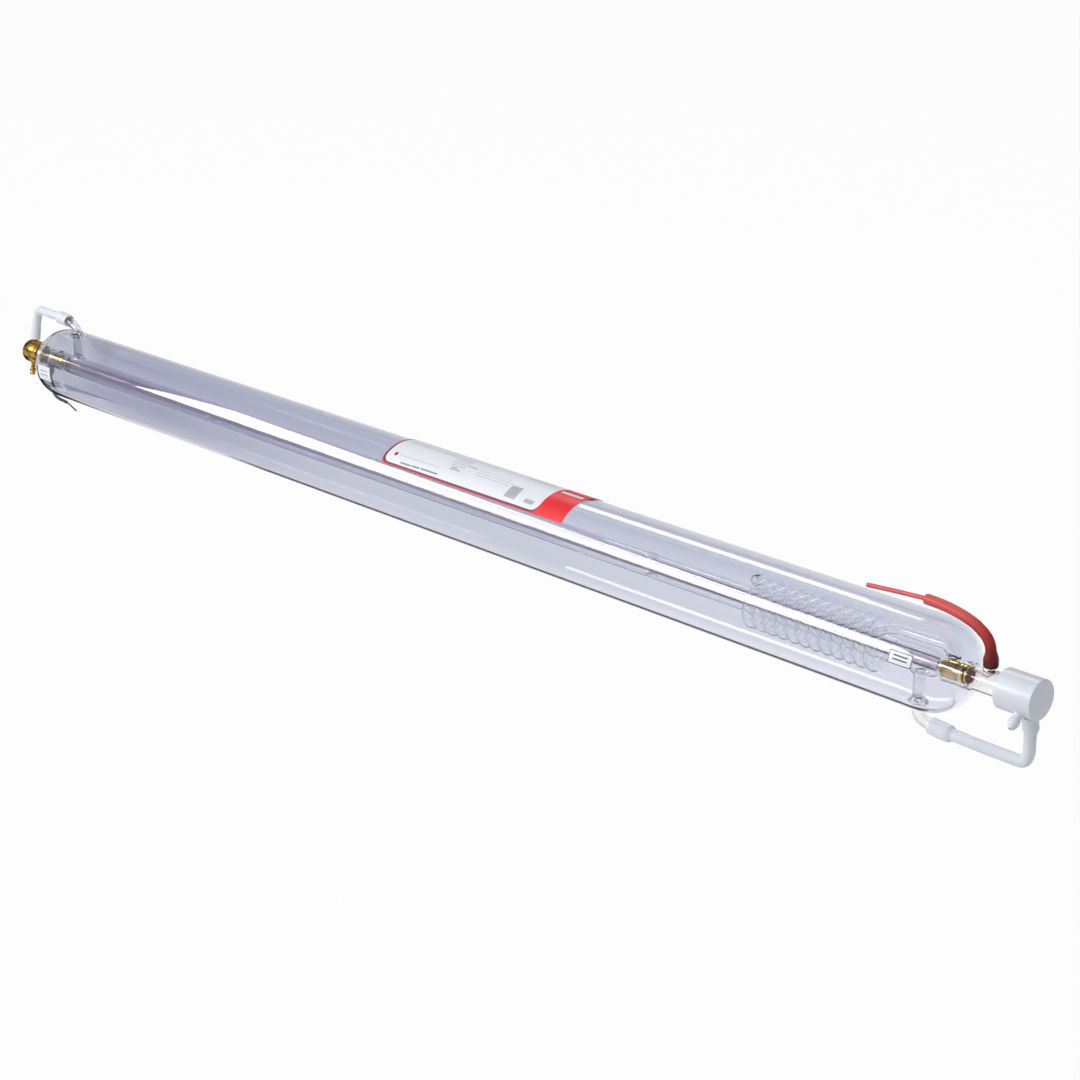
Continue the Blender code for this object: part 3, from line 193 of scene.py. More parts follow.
# Leads and their sleeves (diameter, bore, mouth)
HV_ROUTE = [Vector((x, 0, z)) for x, z in (
    (0.6785, 0.0130), (0.6783, 0.0190), (0.6778, 0.0250), (0.6765, 0.0305), (0.6733, 0.0356),
    (0.6678, 0.0400), (0.6606, 0.0438), (0.6517, 0.0467), (0.6435, 0.0485), (0.6345, 0.0499),
    (0.6250, 0.0507), (0.6145, 0.0510), (0.6085, 0.0508), (0.5988, 0.0501), (0.5867, 0.0493),
    (0.5719, 0.0481), (0.5569, 0.0468))]
HV_SLEEVE_POINTS = 12
HV_SLEEVE = (0.0088, 0.0050, 0.0122)
HV_LEAD_DIAMETER = 0.0038
EARTH_ROUTE = [Vector((x, 0, z)) for x, z in (
    (-0.6640, -0.0130), (-0.6640, -0.0220), (-0.6636, -0.0310), (-0.6612, -0.0400),
    (-0.6555, -0.0468), (-0.6465, -0.0492), (-0.6390, -0.0496), (-0.6317, -0.0502),
    (-0.6250, -0.0520), (-0.6185, -0.0542), (-0.6121, -0.0564))]
EARTH_SLEEVE_POINTS = 8
EARTH_SLEEVE = (0.0036, 0.0028, 0.0112)
EARTH_LEAD_DIAMETER = 0.0018
SLEEVE_RIM = 0.0012
SLEEVE_RIM_DROP = 0.08
SLEEVE_FLARE_START = 0.72
SLEEVE_SPACING = 0.0008
SLEEVE_SIDES = 40
PUCKER_HEIGHT = 0.00012
PUCKER_PLACE = 0.034
PUCKER_SPREAD = 0.006
PUCKER_PITCH = 0.0011

# Stickers
STICKER_LIFT = 0.0003
STICKER_THICKNESS = 0.0003
PRINT_LIFT = 0.00003
PATCH_SPACING = 0.0015
TAG_SPACING = 0.0008
STICKER_CORNER = 0.0006
LABEL_CORNER = 0.008
PANEL_CORNER = 0.009
LABEL_START = -0.014
LABEL_END = 0.238
LABEL_LOW = math.radians(39.0) * JACKET_RADIUS
LABEL_HIGH = math.radians(125.0) * JACKET_RADIUS
LABEL_PANEL_END = 0.203
LABEL_RED_EDGE = 0.0006
LABEL_DARK_LINE = 0.0022
LABEL_DOT = (LABEL_START + 0.0135, math.radians(58.0) * JACKET_RADIUS)
LABEL_DOT_RADIUS = 0.0024
DARK_BARS = ((0.0125, 0.0150, 47.2, 0.0016), (0.0290, 0.0110, 47.8, 0.0016),
             (0.0415, 0.0240, 48.2, 0.0016), (0.0740, 0.0085, 67.0, 0.0010),
             (0.0740, 0.0140, 63.4, 0.0010), (0.0900, 0.0130, 77.8, 0.0010))
PALE_BARS = ((0.0047, 0.0580, 58.4, 0.0005), (0.0700, 0.0190, 71.5, 0.0009),
             (0.0690, 0.0220, 76.5, 0.0009), (0.0680, 0.0220, 81.5, 0.0009),
             (0.0670, 0.0240, 86.5, 0.0009), (0.0660, 0.0230, 91.5, 0.0009),
             (-0.0030, 0.0690, 91.0, 0.0009), (0.1060, 0.0470, 66.5, 0.0005),
             (0.1060, 0.0500, 72.0, 0.0005), (0.1070, 0.0440, 77.5, 0.0005),
             (0.1575, 0.0350, 99.0, 0.0012), (0.1570, 0.0145, 59.5, 0.0145),
             (0.1830, 0.0120, 53.0, 0.0045))
WHITE_BARS = ((LABEL_PANEL_END + 0.0045, 0.0270, 90.0, 0.0040),)
TAG_MARGIN = 0.0002
TAG_BAR_HALF_WIDTH = 0.30
TAG_BAR_LEVELS = (0.34, 0.62)
TAG_BAR_HEIGHT = 0.10
INLET_TAG = (0.610, 0.632, math.radians(11.0), math.radians(27.0))
OUTLET_TAG = (-0.622, -0.597, math.radians(-16.0), math.radians(8.5))

# Camera, floor and room
CAMERA_PLACE = (1.56914, -1.32559, 0.67341)
CAMERA_AZIMUTH = math.radians(46.384)
CAMERA_ELEVATION = math.radians(19.665)
CAMERA_LENS = 73.566
WHITE = (1.0, 1.0, 1.0)
FLOOR_LEVEL = -0.42
FLOOR_SIZE = 60.0
FLOOR_GREY = (0.80, 0.80, 0.80)
FLOOR_WHITENESS = 0.95
FLOOR_SHADE_ALONG = (-0.10, -0.60)
FLOOR_SHADE_SLANT = 1.3
FLOOR_SHADE_Y = (0.86, 0.72)
FLOOR_SHADE_COLOUR = (0.62, 0.64, 0.70)
# Painted shade on the floor, seen only through glass: the far part and the left part are darker.
FLOOR_FAR_SHADE_Y = (0.83, 0.93)
FLOOR_FAR_SHADE_COLOUR = (0.86, 0.87, 0.90)
# Dark cards on the floor under and left of the tube: painted shade of the floor, seen only by glass
# and metal.
FLOOR_SHADE_CARDS = ((-0.80, 1.20, 0.12, 0.28), (-2.60, -1.20, -0.40, 0.45))
CARD_LIFT = 0.002
ROOM_GREY = (0.52, 0.53, 0.55)
MIRRORED_ROOM = [(0.0, (0.36, 0.38, 0.44)), (0.30, (0.32, 0.34, 0.40)),
                 (0.52, (0.20, 0.21, 0.26)), (0.72, (0.09, 0.095, 0.12))]
REFRACTED_ROOM = [(0.36, (0.90, 0.91, 0.94)), (0.66, (0.08, 0.085, 0.11))]
CEILING_GLOW = (1.3, 1.37, 1.45)
GLOW_X, GLOW_Y, GLOW_Z = (-0.76, -0.70), (0.12, -0.25), (0.35, 0.60)
DARK_WALL = (0.05, 0.05, 0.06)
DARK_WALL_X = (-0.85, -0.90)


# Materials

def connect(tree, value, socket):
    """Links a value into a socket, or sets it where it is a plain one."""
    if isinstance(value, bpy.types.NodeSocket):
        tree.links.new(value, socket)
    else:
        socket.default_value = value


def wired(tree, kind, output, inputs, **settings):
    """One output of a new node, with its inputs given as links or plain values."""
    node = tree.nodes.new("ShaderNode" + kind)
    for name, value in settings.items():
        setattr(node, name, value)
    for name, value in inputs.items():
        connect(tree, value, node.inputs[name])
    return node.outputs[output]


def opaque(colour):
    """A plain colour with its alpha. A link stays as it is."""
    return (*colour, 1.0) if isinstance(colour, tuple) else colour


def axes(tree, place):
    """The outputs X, Y and Z of a place."""
    return wired(tree, "SeparateXYZ", "X", {"Vector": place}).node.outputs


def noise(tree, place, scale, detail, stretch=None):
    """Cloudy noise, which may be stretched by a scale for each axis."""
    if stretch:
        place = wired(tree, "Mapping", "Vector", {"Vector": place, "Scale": stretch})
    return wired(tree, "TexNoise", "Fac", {"Vector": place, "Scale": scale, "Detail": detail,
                                           "Roughness": 0.55})


def ramp(tree, value, stops):
    """Turns a value into a colour through (position, colour) stops."""
    output = wired(tree, "ValToRGB", "Color", {"Fac": value})
    elements = output.node.color_ramp.elements
    while len(elements) < len(stops):
        elements.new(0.5)
    for element, (position, colour) in zip(elements, stops):
        element.position = position
        element.color = opaque(colour)
    return output


def levels(tree, value, start, end, low=0.0, high=1.0):
    """Maps a value from between start and end to between low and high."""
    return wired(tree, "MapRange", "Result", {"Value": value, "From Min": start, "From Max": end,
                                              "To Min": low, "To Max": high})


def maths(tree, operation, *values):
    return wired(tree, "Math", 0, dict(enumerate(values)), operation=operation)


def product(tree, result, *factors):
    for factor in factors:
        result = maths(tree, "MULTIPLY", result, factor)
    return result


def blended(tree, share, first, second):
    """Mixes two colours."""
    return wired(tree, "Mix", "Result", {"Factor": share, "A": opaque(first), "B": opaque(second)},
                 data_type="RGBA")


def bump(tree, shader, height, strength, distance):
    normal = wired(tree, "Bump", "Normal", {"Height": height, "Strength": strength,
                                            "Distance": distance})
    connect(tree, normal, shader.inputs["Normal"])


def new_material(name, colour, roughness, inputs):
    """A Principled material, with its node tree, shader and texture coordinates."""
    material = bpy.data.materials.new(name)
    material.use_nodes = True
    tree = material.node_tree
    shader = tree.nodes["Principled BSDF"]
    for socket, value in {"Base Color": opaque(colour), "Roughness": roughness, **inputs}.items():
        shader.inputs[socket].default_value = value
    return material, tree, shader, wired(tree, "TexCoord", "Object", {})


def dress(tree, shader, colour, grain, low, high, strength, distance):
    """Gives a shader its colour, and fine marks in its roughness and its height."""
    connect(tree, colour, shader.inputs["Base Color"])
    connect(tree, levels(tree, grain, 0.0, 1.0, low, high), shader.inputs["Roughness"])
    bump(tree, shader, grain, strength, distance)


def glass_material(name, shaded_left_tint, right_tint, ior=1.47, waviness=0.003, lit_end_tint=None):
    """Drawn borosilicate glass: its own tint with painted shade that darkens it towards -X along
    the tube, and faint draw lines.
    """
    material, tree, shader, place = new_material(
        name, shaded_left_tint, 0.0, {"Transmission Weight": 1.0, "IOR": ior})
    stops = [(0.19, shaded_left_tint), (1.0, right_tint)]
    if lit_end_tint:
        stops = [(0.050, lit_end_tint), (0.075, shaded_left_tint)] + stops
    # Painted shade: the tint ramp along X darkens the glass towards -X, with a paler band of
    # painted light near the -X end.
    tint_and_painted_shade = ramp(tree, levels(tree, axes(tree, place)["X"], -0.70, 0.60), stops)
    connect(tree, tint_and_painted_shade, shader.inputs["Base Color"])
    bump(tree, shader, noise(tree, place, 3.0, 2.0, (0.6, 60.0, 60.0)), waviness, 0.001)
    return material


def metal_material(name, stops, roughness, grain_scale):
    """A turned or rolled metal with tarnish and fine machining marks."""
    material, tree, shader, place = new_material(name, stops[0][1], roughness, {"Metallic": 1.0})
    dress(tree, shader, ramp(tree, noise(tree, place, 140.0, 4.0), stops),
          noise(tree, place, 1.0, 2.0, grain_scale), roughness * 0.7, roughness * 1.5,
          0.15, 0.0001)
    return material


def plastic_material(name, colour, roughness, speckle, coat=0.0, subsurface=0.0,
                     transmission=0.0):
    """Moulded plastic, rubber or print with a faint mottling."""
    material, tree, shader, place = new_material(name, colour, roughness, {
        "Transmission Weight": transmission, "Coat Weight": coat, "Coat Roughness": 0.2,
        "Subsurface Weight": subsurface, "Subsurface Radius": (1.0, 0.8, 0.7),
        "Subsurface Scale": 0.004})
    darker = tuple(channel * (1 - speckle) for channel in colour)
    lighter = tuple(min(channel * (1 + speckle), 1.0) for channel in colour)
    dress(tree, shader, ramp(tree, noise(tree, place, 90.0, 3.0), [(0.3, darker), (0.7, lighter)]),
          noise(tree, place, 900.0, 2.0), roughness * 0.85, roughness * 1.15, 0.12, 0.0002)
    return material


def sleeve_material():
    """Shrunk red sleeving, darker towards its foot and paler towards its top as painted shade and
    light.
    """
    material, tree, shader, place = new_material("red_sleeve", (0.40, 0.03, 0.02), 0.38,
                                                 {"Specular IOR Level": 0.3})
    # Painted light and shade: the red runs from dark at the sleeve's foot to pale at its top, by
    # height, with some mottling.
    height = levels(tree, axes(tree, place)["Z"], 0.010, 0.054)
    mottling_and_height_shade = maths(tree, "MULTIPLY_ADD", noise(tree, place, 160.0, 3.0), 0.16, height)
    reds_with_painted_shade = ramp(tree, mottling_and_height_shade, [(0.14, (0.055, 0.002, 0.0015)), (0.45, (0.19, 0.011, 0.009)),
                                  (0.78, (0.42, 0.034, 0.028)), (1.0, (0.60, 0.085, 0.075))])
    dress(tree, shader, reds_with_painted_shade, noise(tree, place, 900.0, 2.0), 0.32, 0.44, 0.12, 0.0002)
    return material


def window_material():
    """Yellow-orange infrared window with a thin coating."""
    material, tree, shader, place = new_material("amber_window", (0.80, 0.40, 0.07), 0.05,
                                                 {"Transmission Weight": 0.6, "IOR": 2.4})
    bloom = ramp(tree, noise(tree, place, 120.0, 2.0),
                 [(0.3, (0.72, 0.32, 0.05)), (0.7, (0.85, 0.48, 0.10))])
    connect(tree, bloom, shader.inputs["Base Color"])
    return material


# Each glass runs from a darker -X end to a paler +X end: painted shade on top of the glass's own
# tint.
JACKET_GLASS = glass_material("jacket_glass", (0.73, 0.74, 0.82), (0.85, 0.86, 0.92),
                              lit_end_tint=(0.84, 0.86, 0.88))
INNER_CLEAR = glass_material("inner_clear_glass", (0.86, 0.86, 0.90), (0.95, 0.95, 0.96))
BORE_GLASS = glass_material("bore_glass", (0.75, 0.66, 0.73), (0.91, 0.85, 0.87))
COIL_GLASS = glass_material("coil_glass", (0.97, 0.97, 0.98), (0.985, 0.985, 0.99))
CLEAR_GLASS = (JACKET_GLASS, INNER_CLEAR, BORE_GLASS, COIL_GLASS)
SEAL_GLASS = glass_material("pin_seal_glass", (0.92, 0.87, 0.76), (0.94, 0.89, 0.78), 1.48, 0.01)
GOLD = metal_material("gold_sheet", [(0.32, (0.34, 0.17, 0.035)), (0.44, (0.84, 0.54, 0.17)),
                                     (0.66, (1.0, 0.80, 0.38))], 0.14, (60.0, 60.0, 60.0))
BRASS = metal_material("turned_brass", [(0.36, (0.16, 0.09, 0.02)), (0.50, (0.46, 0.25, 0.055)),
                                        (0.72, (0.64, 0.36, 0.09))], 0.17, (2500.0, 60.0, 60.0))
# Darker gold for the electrodes' inner faces: painted shade inside the cups.
GOLD_INSIDE_SHADE = metal_material("gold_painted_inside_shade", [(0.3, (0.34, 0.11, 0.022)), (0.7, (0.55, 0.20, 0.05))],
                            0.40, (60.0, 60.0, 60.0))
PIN_METAL = metal_material("pin_metal", [(0.3, (0.30, 0.29, 0.28)), (0.7, (0.55, 0.53, 0.50))],
                           0.30, (900.0, 900.0, 900.0))
MIRROR_METAL = metal_material("mirror_metal",
                              [(0.3, (0.76, 0.76, 0.78)), (0.7, (0.84, 0.84, 0.86))],
                              0.06, (400.0, 400.0, 400.0))
WHITE_PLASTIC = plastic_material("white_plastic", (0.66, 0.68, 0.745), 0.38, 0.02, coat=0.3)
SILICONE = plastic_material("milky_silicone", (0.76, 0.79, 0.85), 0.45, 0.02, subsurface=1.0,
                            transmission=0.05)
RED_WIRE = plastic_material("red_wire", (0.60, 0.085, 0.095), 0.38, 0.06)
BLACK_RUBBER = plastic_material("black_rubber", (0.018, 0.018, 0.020), 0.45, 0.2)
STICKER_WHITE = plastic_material("sticker_white", (0.78, 0.79, 0.82), 0.40, 0.02, coat=0.1)
PRINT_RED = plastic_material("print_red", (0.78, 0.008, 0.014), 0.40, 0.04, coat=0.1)
PRINT_MAROON = plastic_material("print_maroon", (0.14, 0.012, 0.030), 0.40, 0.05)
PRINT_GREY = plastic_material("print_grey", (0.20, 0.21, 0.25), 0.40, 0.05)
PRINT_PALE = plastic_material("print_pale", (0.42, 0.43, 0.47), 0.40, 0.05)
PRINT_BLACK = plastic_material("print_black", (0.03, 0.03, 0.035), 0.40, 0.05)
RED_SLEEVE = sleeve_material()
WINDOW_AMBER = window_material()


# Shapes

def shares(steps, first=0):
    """Even steps up to 1."""
    return [step / steps for step in range(first, steps + 1)]


def quarter(steps, first=0):
    """Angles in even steps up to a right angle."""
    return [math.pi / 2 * share for share in shares(steps, first)]


def circle(sides):
    return [math.tau * corner / sides for corner in range(sides)]


def ease(share):
    """Goes smoothly from 0 to 1."""
    share = min(max(share, 0.0), 1.0)
    return share * share * (3 - 2 * share)


def add_object(name, data, *materials):
    """Puts a mesh, a curve, a light or a camera into the scene."""
    for material in materials:
        data.materials.append(material)
    holder = bpy.data.objects.new(name, data)
    bpy.context.scene.collection.objects.link(holder)
    return holder


def shade(mesh):
    mesh.shade_smooth()
    mesh.set_sharp_from_angle(angle=SHARP_ANGLE)


def finish(bm, name, *materials):
    """Turns a bmesh into a smooth-shaded object with its faces pointing out."""
    bmesh.ops.recalc_face_normals(bm, faces=bm.faces)
    mesh = bpy.data.meshes.new(name)
    bm.to_mesh(mesh)
    bm.free()
    shade(mesh)
    return add_object(name, mesh, *materials)


def merge(bm, part):
    """Moves all of one bmesh into another."""
    mesh = bpy.data.meshes.new("part")
    part.to_mesh(mesh)
    part.free()
    bm.from_mesh(mesh)
    bpy.data.meshes.remove(mesh)


def spun(bm, outline, segments):
    """Spins a closed outline of (distance along, radius) pairs about the X axis."""
    corners = [bm.verts.new((along, 0.0, radius)) for along, radius in outline]
    sides = [bm.edges.new(pair) for pair in zip(corners, corners[1:] + corners[:1])]
    bmesh.ops.spin(bm, geom=corners + sides, cent=(0, 0, 0), axis=(1, 0, 0), angle=math.tau,
                   steps=segments, use_merge=True)
    bmesh.ops.remove_doubles(bm, verts=bm.verts, dist=1e-7)


def turned(name, outline, material, segments, place=None):
    bm = bmesh.new()
    spun(bm, outline, segments)
    if place is not None:
        bmesh.ops.transform(bm, matrix=place, verts=bm.verts)
    return finish(bm, name, material)


def skinned(name, rings, material, closed=True):
    """Skins rings of equally many points, joined into a loop or capped at both ends."""
    bm = bmesh.new()
    loops = [[bm.verts.new(point) for point in ring] for ring in rings]
    following = loops[1:] + loops[:1] if closed else loops[1:]
    for first, second in zip(loops, following):
        for index in range(len(first)):
            after = (index + 1) % len(first)
            bm.faces.new((first[index], first[after], second[after], second[index]))
    if not closed:
        bm.faces.new(loops[0][::-1])
        bm.faces.new(loops[-1])
    return finish(bm, name, material)


def cut_round(piece, start, end, radius, segments=48):
    """Cuts a round hole between two points out of a piece."""
    start, end = Vector(start), Vector(end)
    turn = (end - start).to_track_quat("Z", "Y").to_matrix().to_4x4()
    bm = bmesh.new()
    bmesh.ops.create_cone(bm, cap_ends=True, segments=segments, radius1=radius, radius2=radius,
                          depth=(end - start).length,
                          matrix=Matrix.Translation((start + end) / 2) @ turn)
    cutter = finish(bm, piece.name + "_cutter")
    modifier = piece.modifiers.new("hole", "BOOLEAN")
    modifier.operation = "DIFFERENCE"
    modifier.object = cutter
    view = bpy.context.evaluated_depsgraph_get()
    cut_mesh = bpy.data.meshes.new_from_object(piece.evaluated_get(view))
    piece.modifiers.clear()
    piece.data = cut_mesh
    shade(cut_mesh)
    bpy.data.objects.remove(cutter)


def cut_upright(piece, x, up, near, far, radius, segments=48):
    """Cuts a hole up or down out of the wall of a lying tube."""
    cut_round(piece, (x, 0, up * near), (x, 0, up * far), radius, segments)


def rounded(outline, radii, steps=5):
    """Rounds the corners of a closed outline, each with its own radius, which may be 0."""
    smooth = []
    for index, radius in enumerate(radii):
        corner = Vector(outline[index])
        if radius <= 0:
            smooth.append(tuple(corner))
            continue
        towards = Vector(outline[index - 1]) - corner
        onwards = Vector(outline[(index + 1) % len(outline)]) - corner
        reach = min(radius, towards.length * 0.49, onwards.length * 0.49)
        first = corner + towards.normalized() * reach
        last = corner + onwards.normalized() * reach
        for t in shares(steps):
            smooth.append(tuple(first * (1 - t) ** 2 + corner * 2 * t * (1 - t) + last * t ** 2))
    return smooth


def disc(name, back, front, radius, edge, material):
    outline = [(back, 0.0), (back, radius), (front, radius), (front, 0.0)]
    return turned(name, rounded(outline, [0, edge, edge, 0]), material, 96)


def show(piece, slot, *nodes):
    """Puts a piece on the tube's one body in place of its CAD node. Clear glass casts no shadow."""
    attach(piece, "root")
    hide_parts(*nodes)
    if piece.data.materials[0] in CLEAR_GLASS:
        piece.visible_shadow = False


# Routes

def route_distances(route):
    """Distance from the start of a route to each of its points."""
    return [0.0, *accumulate((last - first).length for first, last in zip(route, route[1:]))]


def evenly_spaced(dense, spacing):
    """Resamples a dense line so that its points lie about one spacing apart."""
    lengths = route_distances(dense)
    count = max(2, round(lengths[-1] / spacing))
    route = []
    index = 0
    for step in range(count + 1):
        wanted = lengths[-1] * step / count
        while index < len(dense) - 2 and lengths[index + 1] < wanted:
            index += 1
        share = (wanted - lengths[index]) / (lengths[index + 1] - lengths[index])
        route.append(dense[index].lerp(dense[index + 1], share))
    return route


def smooth_route(points, spacing):
    """Evenly spaced points on a smooth curve through the given ones."""
    posts = [2 * points[0] - points[1], *points, 2 * points[-1] - points[-2]]
    dense = []
    for index in range(1, len(posts) - 2):
        p0, p1, p2, p3 = posts[index - 1:index + 3]
        for t in shares(24)[:-1]:
            curve = (2 * p1 + (p2 - p0) * t + (2 * p0 - 5 * p1 + 4 * p2 - p3) * t ** 2
                     + (3 * p1 - p0 - 3 * p2 + p3) * t ** 3)
            dense.append(curve / 2)
    dense.append(points[-1])
    return evenly_spaced(dense, spacing)


def bezier(p0, p1, p2, p3, steps=24):
    """Points on a cubic curve, without its first."""
    return [p0 * (1 - t) ** 3 + p1 * 3 * (1 - t) ** 2 * t + p2 * 3 * t * t * (1 - t) + p3 * t ** 3
            for t in shares(steps, 1)]


def rings_along(route, radii, sides):
    """Round rings across a route, turned as little as possible from one to the next."""
    tangents = []
    for index in range(len(route)):
        first = route[max(index - 1, 0)]
        last = route[min(index + 1, len(route) - 1)]
        tangents.append((last - first).normalized())
    across = Vector((0.0, 1.0, 0.0))
    if abs(across.dot(tangents[0])) > 0.9:
        across = Vector((0.0, 0.0, 1.0))
    across = (across - tangents[0] * across.dot(tangents[0])).normalized()
    rings = []
    for index, centre in enumerate(route):
        if index:
            across = tangents[index - 1].rotation_difference(tangents[index]) @ across
        other = tangents[index].cross(across)
        rings.append([centre + (across * math.cos(angle) + other * math.sin(angle)) * radii[index]
                      for angle in circle(sides)])
    return rings


def hollow_tube(name, route, outer_radii, inner_radii, sides, material):
    """A tube along a route, open at both ends with rounded rims."""
    outer = rings_along(route, outer_radii, sides)
    inner = rings_along(route, inner_radii, sides)
    return skinned(name, outer + inner[::-1], material)


# Cords

def build_lead(name, route, diameter, material):
    """A wire as a curve of one open spline with a round section."""
    curve = bpy.data.curves.new(name, "CURVE")
    curve.dimensions = "3D"
    curve.bevel_depth = diameter / 2
    curve.bevel_resolution = 6
    curve.use_fill_caps = True
    spline = curve.splines.new("POLY")
    spline.points.add(len(route) - 1)
    for point, place in zip(spline.points, route):
        point.co = (*place, 1.0)
    return add_object(name + "_wire", curve, material)


def build_sleeve(name, points, sizes, wrinkle, material):
    """A push-on sleeve that opens out over the pin's glass seal, puckered where it is tight."""
    diameter, bore, mouth = sizes
    route = smooth_route(points, SLEEVE_SPACING)
    distances = route_distances(route)
    clear = SEAL_STEM_RADIUS + SEAT_GAP
    outer_radii, inner_radii = [], []
    for distance in distances:
        share = 1 - ease(distance / SEAL_HEIGHT - SLEEVE_FLARE_START)
        from_end = min(distance, distances[-1] - distance)
        rim = 1 - SLEEVE_RIM_DROP * (1 - ease(from_end / SLEEVE_RIM))
        pucker = wrinkle * math.exp(-((distance - PUCKER_PLACE) / PUCKER_SPREAD) ** 2)
        pucker *= math.sin(distance / PUCKER_PITCH)
        inner_radii.append(bore / 2 + (clear - bore / 2) * share)
        outer_radii.append((diameter / 2 + (mouth / 2 - diameter / 2) * share) * rim + pucker)
    return hollow_tube(name + "_cover", route, outer_radii, inner_radii, SLEEVE_SIDES, material)


def above_pin(route):
    """The part of a lead's route that starts clear of the end of its pin."""
    return [point for point in route if abs(point.z) > PIN_TOP + SEAT_GAP or
            abs(point.x - route[0].x) > 2 * PIN_RADIUS]


def build_cords():
    for name, points, sleeve_points, sleeve, wrinkle, diameter, wire, cover, slot in (
            ("hv", HV_ROUTE, HV_SLEEVE_POINTS, HV_SLEEVE, PUCKER_HEIGHT, HV_LEAD_DIAMETER,
             RED_WIRE, RED_SLEEVE, "red_silicone"),
            ("earth", EARTH_ROUTE, EARTH_SLEEVE_POINTS, EARTH_SLEEVE, 0.0, EARTH_LEAD_DIAMETER,
             BLACK_RUBBER, BLACK_RUBBER, "black_rubber")):
        route = above_pin(smooth_route(points, diameter))
        tube = build_sleeve(name + "_sleeve", points[:sleeve_points], sleeve, wrinkle, cover)
        show(tube, slot, name + "_sleeve")
        lead = build_lead(name + "_lead", route, diameter, wire)
        show(lead, slot, name + "_lead")


# Outer jacket

def dome_radius(share, widest, narrowest):
    """Radius of a rounded end, from the shoulder at 0 to the ring seal at 1."""
    share = min(max(share, 0.0), 1.0)
    fullness = (1 - share ** DOME_ROUNDNESS) ** (1 / DOME_ROUNDNESS)
    return narrowest + (widest - narrowest) * fullness


def jacket_radius(x):
    """Outer radius of the jacket at a place along its axis."""
    if x > ANODE_SHOULDER:
        share = (x - ANODE_SHOULDER) / ANODE_DOME_LENGTH
    else:
        share = (CATHODE_SHOULDER - x) / CATHODE_DOME_LENGTH
    return dome_radius(share, JACKET_RADIUS, RING_SEAL_RADIUS)


def dome_outline(shoulder, length, widest, narrowest):
    """Points of a rounded end from its shoulder to its ring seal."""
    return [(shoulder + length * math.sin(angle), dome_radius(math.sin(angle), widest, narrowest))
            for angle in quarter(26)]


def jacket_wall(thickness, narrowest):
    """One side of the wall, from seal to seal, with rings on both sides of each hole."""
    radius = JACKET_RADIUS - thickness
    straight = [(place, radius) for place in (
        OUTLET_X - HOLE_MARGIN, OUTLET_X + HOLE_MARGIN, INLET_X - HOLE_MARGIN,
        ANODE_SHOULDER - 1e-4)]
    cathode = dome_outline(CATHODE_SHOULDER, thickness - CATHODE_DOME_LENGTH, radius, narrowest)
    anode = dome_outline(ANODE_SHOULDER, ANODE_DOME_LENGTH - thickness, radius, narrowest)
    return cathode[::-1] + straight + anode


def build_outer_jacket():
    outline = (jacket_wall(0.0, RING_SEAL_RADIUS) + [(ANODE_DOME_END, DOME_HOLE_RADIUS)]
               + jacket_wall(JACKET_WALL, DOME_HOLE_RADIUS)[::-1]
               + [(CATHODE_DOME_END, DOME_HOLE_RADIUS)])
    jacket = turned("glass_jacket", outline, JACKET_GLASS, 144)
    for x, up in ((INLET_X, -1), (OUTLET_X, 1)):
        cut_upright(jacket, x, up, (JACKET_RADIUS - JACKET_WALL) / 2, JACKET_RADIUS * 1.2,
                    WATER_GLASS_RADIUS + SEAT_GAP)
    show(jacket, "clear_glass", "outer_jacket")


# Water jacket and discharge tube

def dimple_depth(x, angle):
    """How far the wall is pressed in at a place on the water jacket."""
    depth = 0.0
    for station in DIMPLE_STATIONS:
        for middle in circle(DIMPLES_AROUND):
            turn = (angle - math.pi / 2 - middle + math.pi) % math.tau - math.pi
            away = math.hypot(x - station, turn * WATER_JACKET_RADIUS) / DIMPLE_WIDTH
            depth += DIMPLE_DEPTH * math.exp(-away ** 2)
    return depth


def water_jacket_ring(x, radius):
    ring = []
    for angle in circle(96):
        pressed = radius - dimple_depth(x, angle)
        ring.append(Vector((x, pressed * math.cos(angle), pressed * math.sin(angle))))
    return ring


def closed_end(radius):
    """How a wall comes out of the discharge tube: pairs of distance and radius."""
    widening = radius - DISCHARGE_HOLE_RADIUS
    return [(END_ROUNDING * (1 - math.cos(angle)),
             DISCHARGE_HOLE_RADIUS + widening * math.sin(angle)) for angle in quarter(10)]


def water_jacket_wall(thickness):
    """Rings of one side of the wall, closed in at both ends on the discharge tube."""
    radius = WATER_JACKET_RADIUS - thickness
    start = WATER_JACKET_CATHODE_END + thickness
    end = WATER_JACKET_ANODE_END - thickness
    stations = [(start + along, width) for along, width in closed_end(radius)]
    stations += [(station + DIMPLE_WIDTH * step / 5, radius)
                 for station in DIMPLE_STATIONS for step in range(-14, 15)]
    stations += [(end - along, width) for along, width in closed_end(radius)[::-1]]
    return [water_jacket_ring(x, width) for x, width in stations]


def build_water_jacket():
    rings = water_jacket_wall(0.0) + water_jacket_wall(WATER_JACKET_WALL)[::-1]
    jacket = skinned("dimpled_jacket", rings, INNER_CLEAR)
    for x, up in ((INLET_X, -1), (OUTLET_X, 1)):
        cut_upright(jacket, x, up, DISCHARGE_TUBE_RADIUS + WATER_JACKET_WALL,
                    2 * WATER_JACKET_RADIUS, WATER_GLASS_BORE)
    show(jacket, "clear_glass", "water_jacket")


def build_discharge_tube():
    start = WATER_JACKET_CATHODE_END - DISCHARGE_TUBE_PROUD
    end = WATER_JACKET_ANODE_END + DISCHARGE_TUBE_PROUD
    outer, inner = DISCHARGE_TUBE_RADIUS, DISCHARGE_BORE_RADIUS
    edge = (outer - inner) * 0.45
    outline = rounded([(start, inner), (start, outer), (end, outer), (end, inner)], [edge] * 4)
    show(turned("bore_tube", outline, BORE_GLASS, 64), "inner_glass", "discharge_tube")


# End bulbs and necks

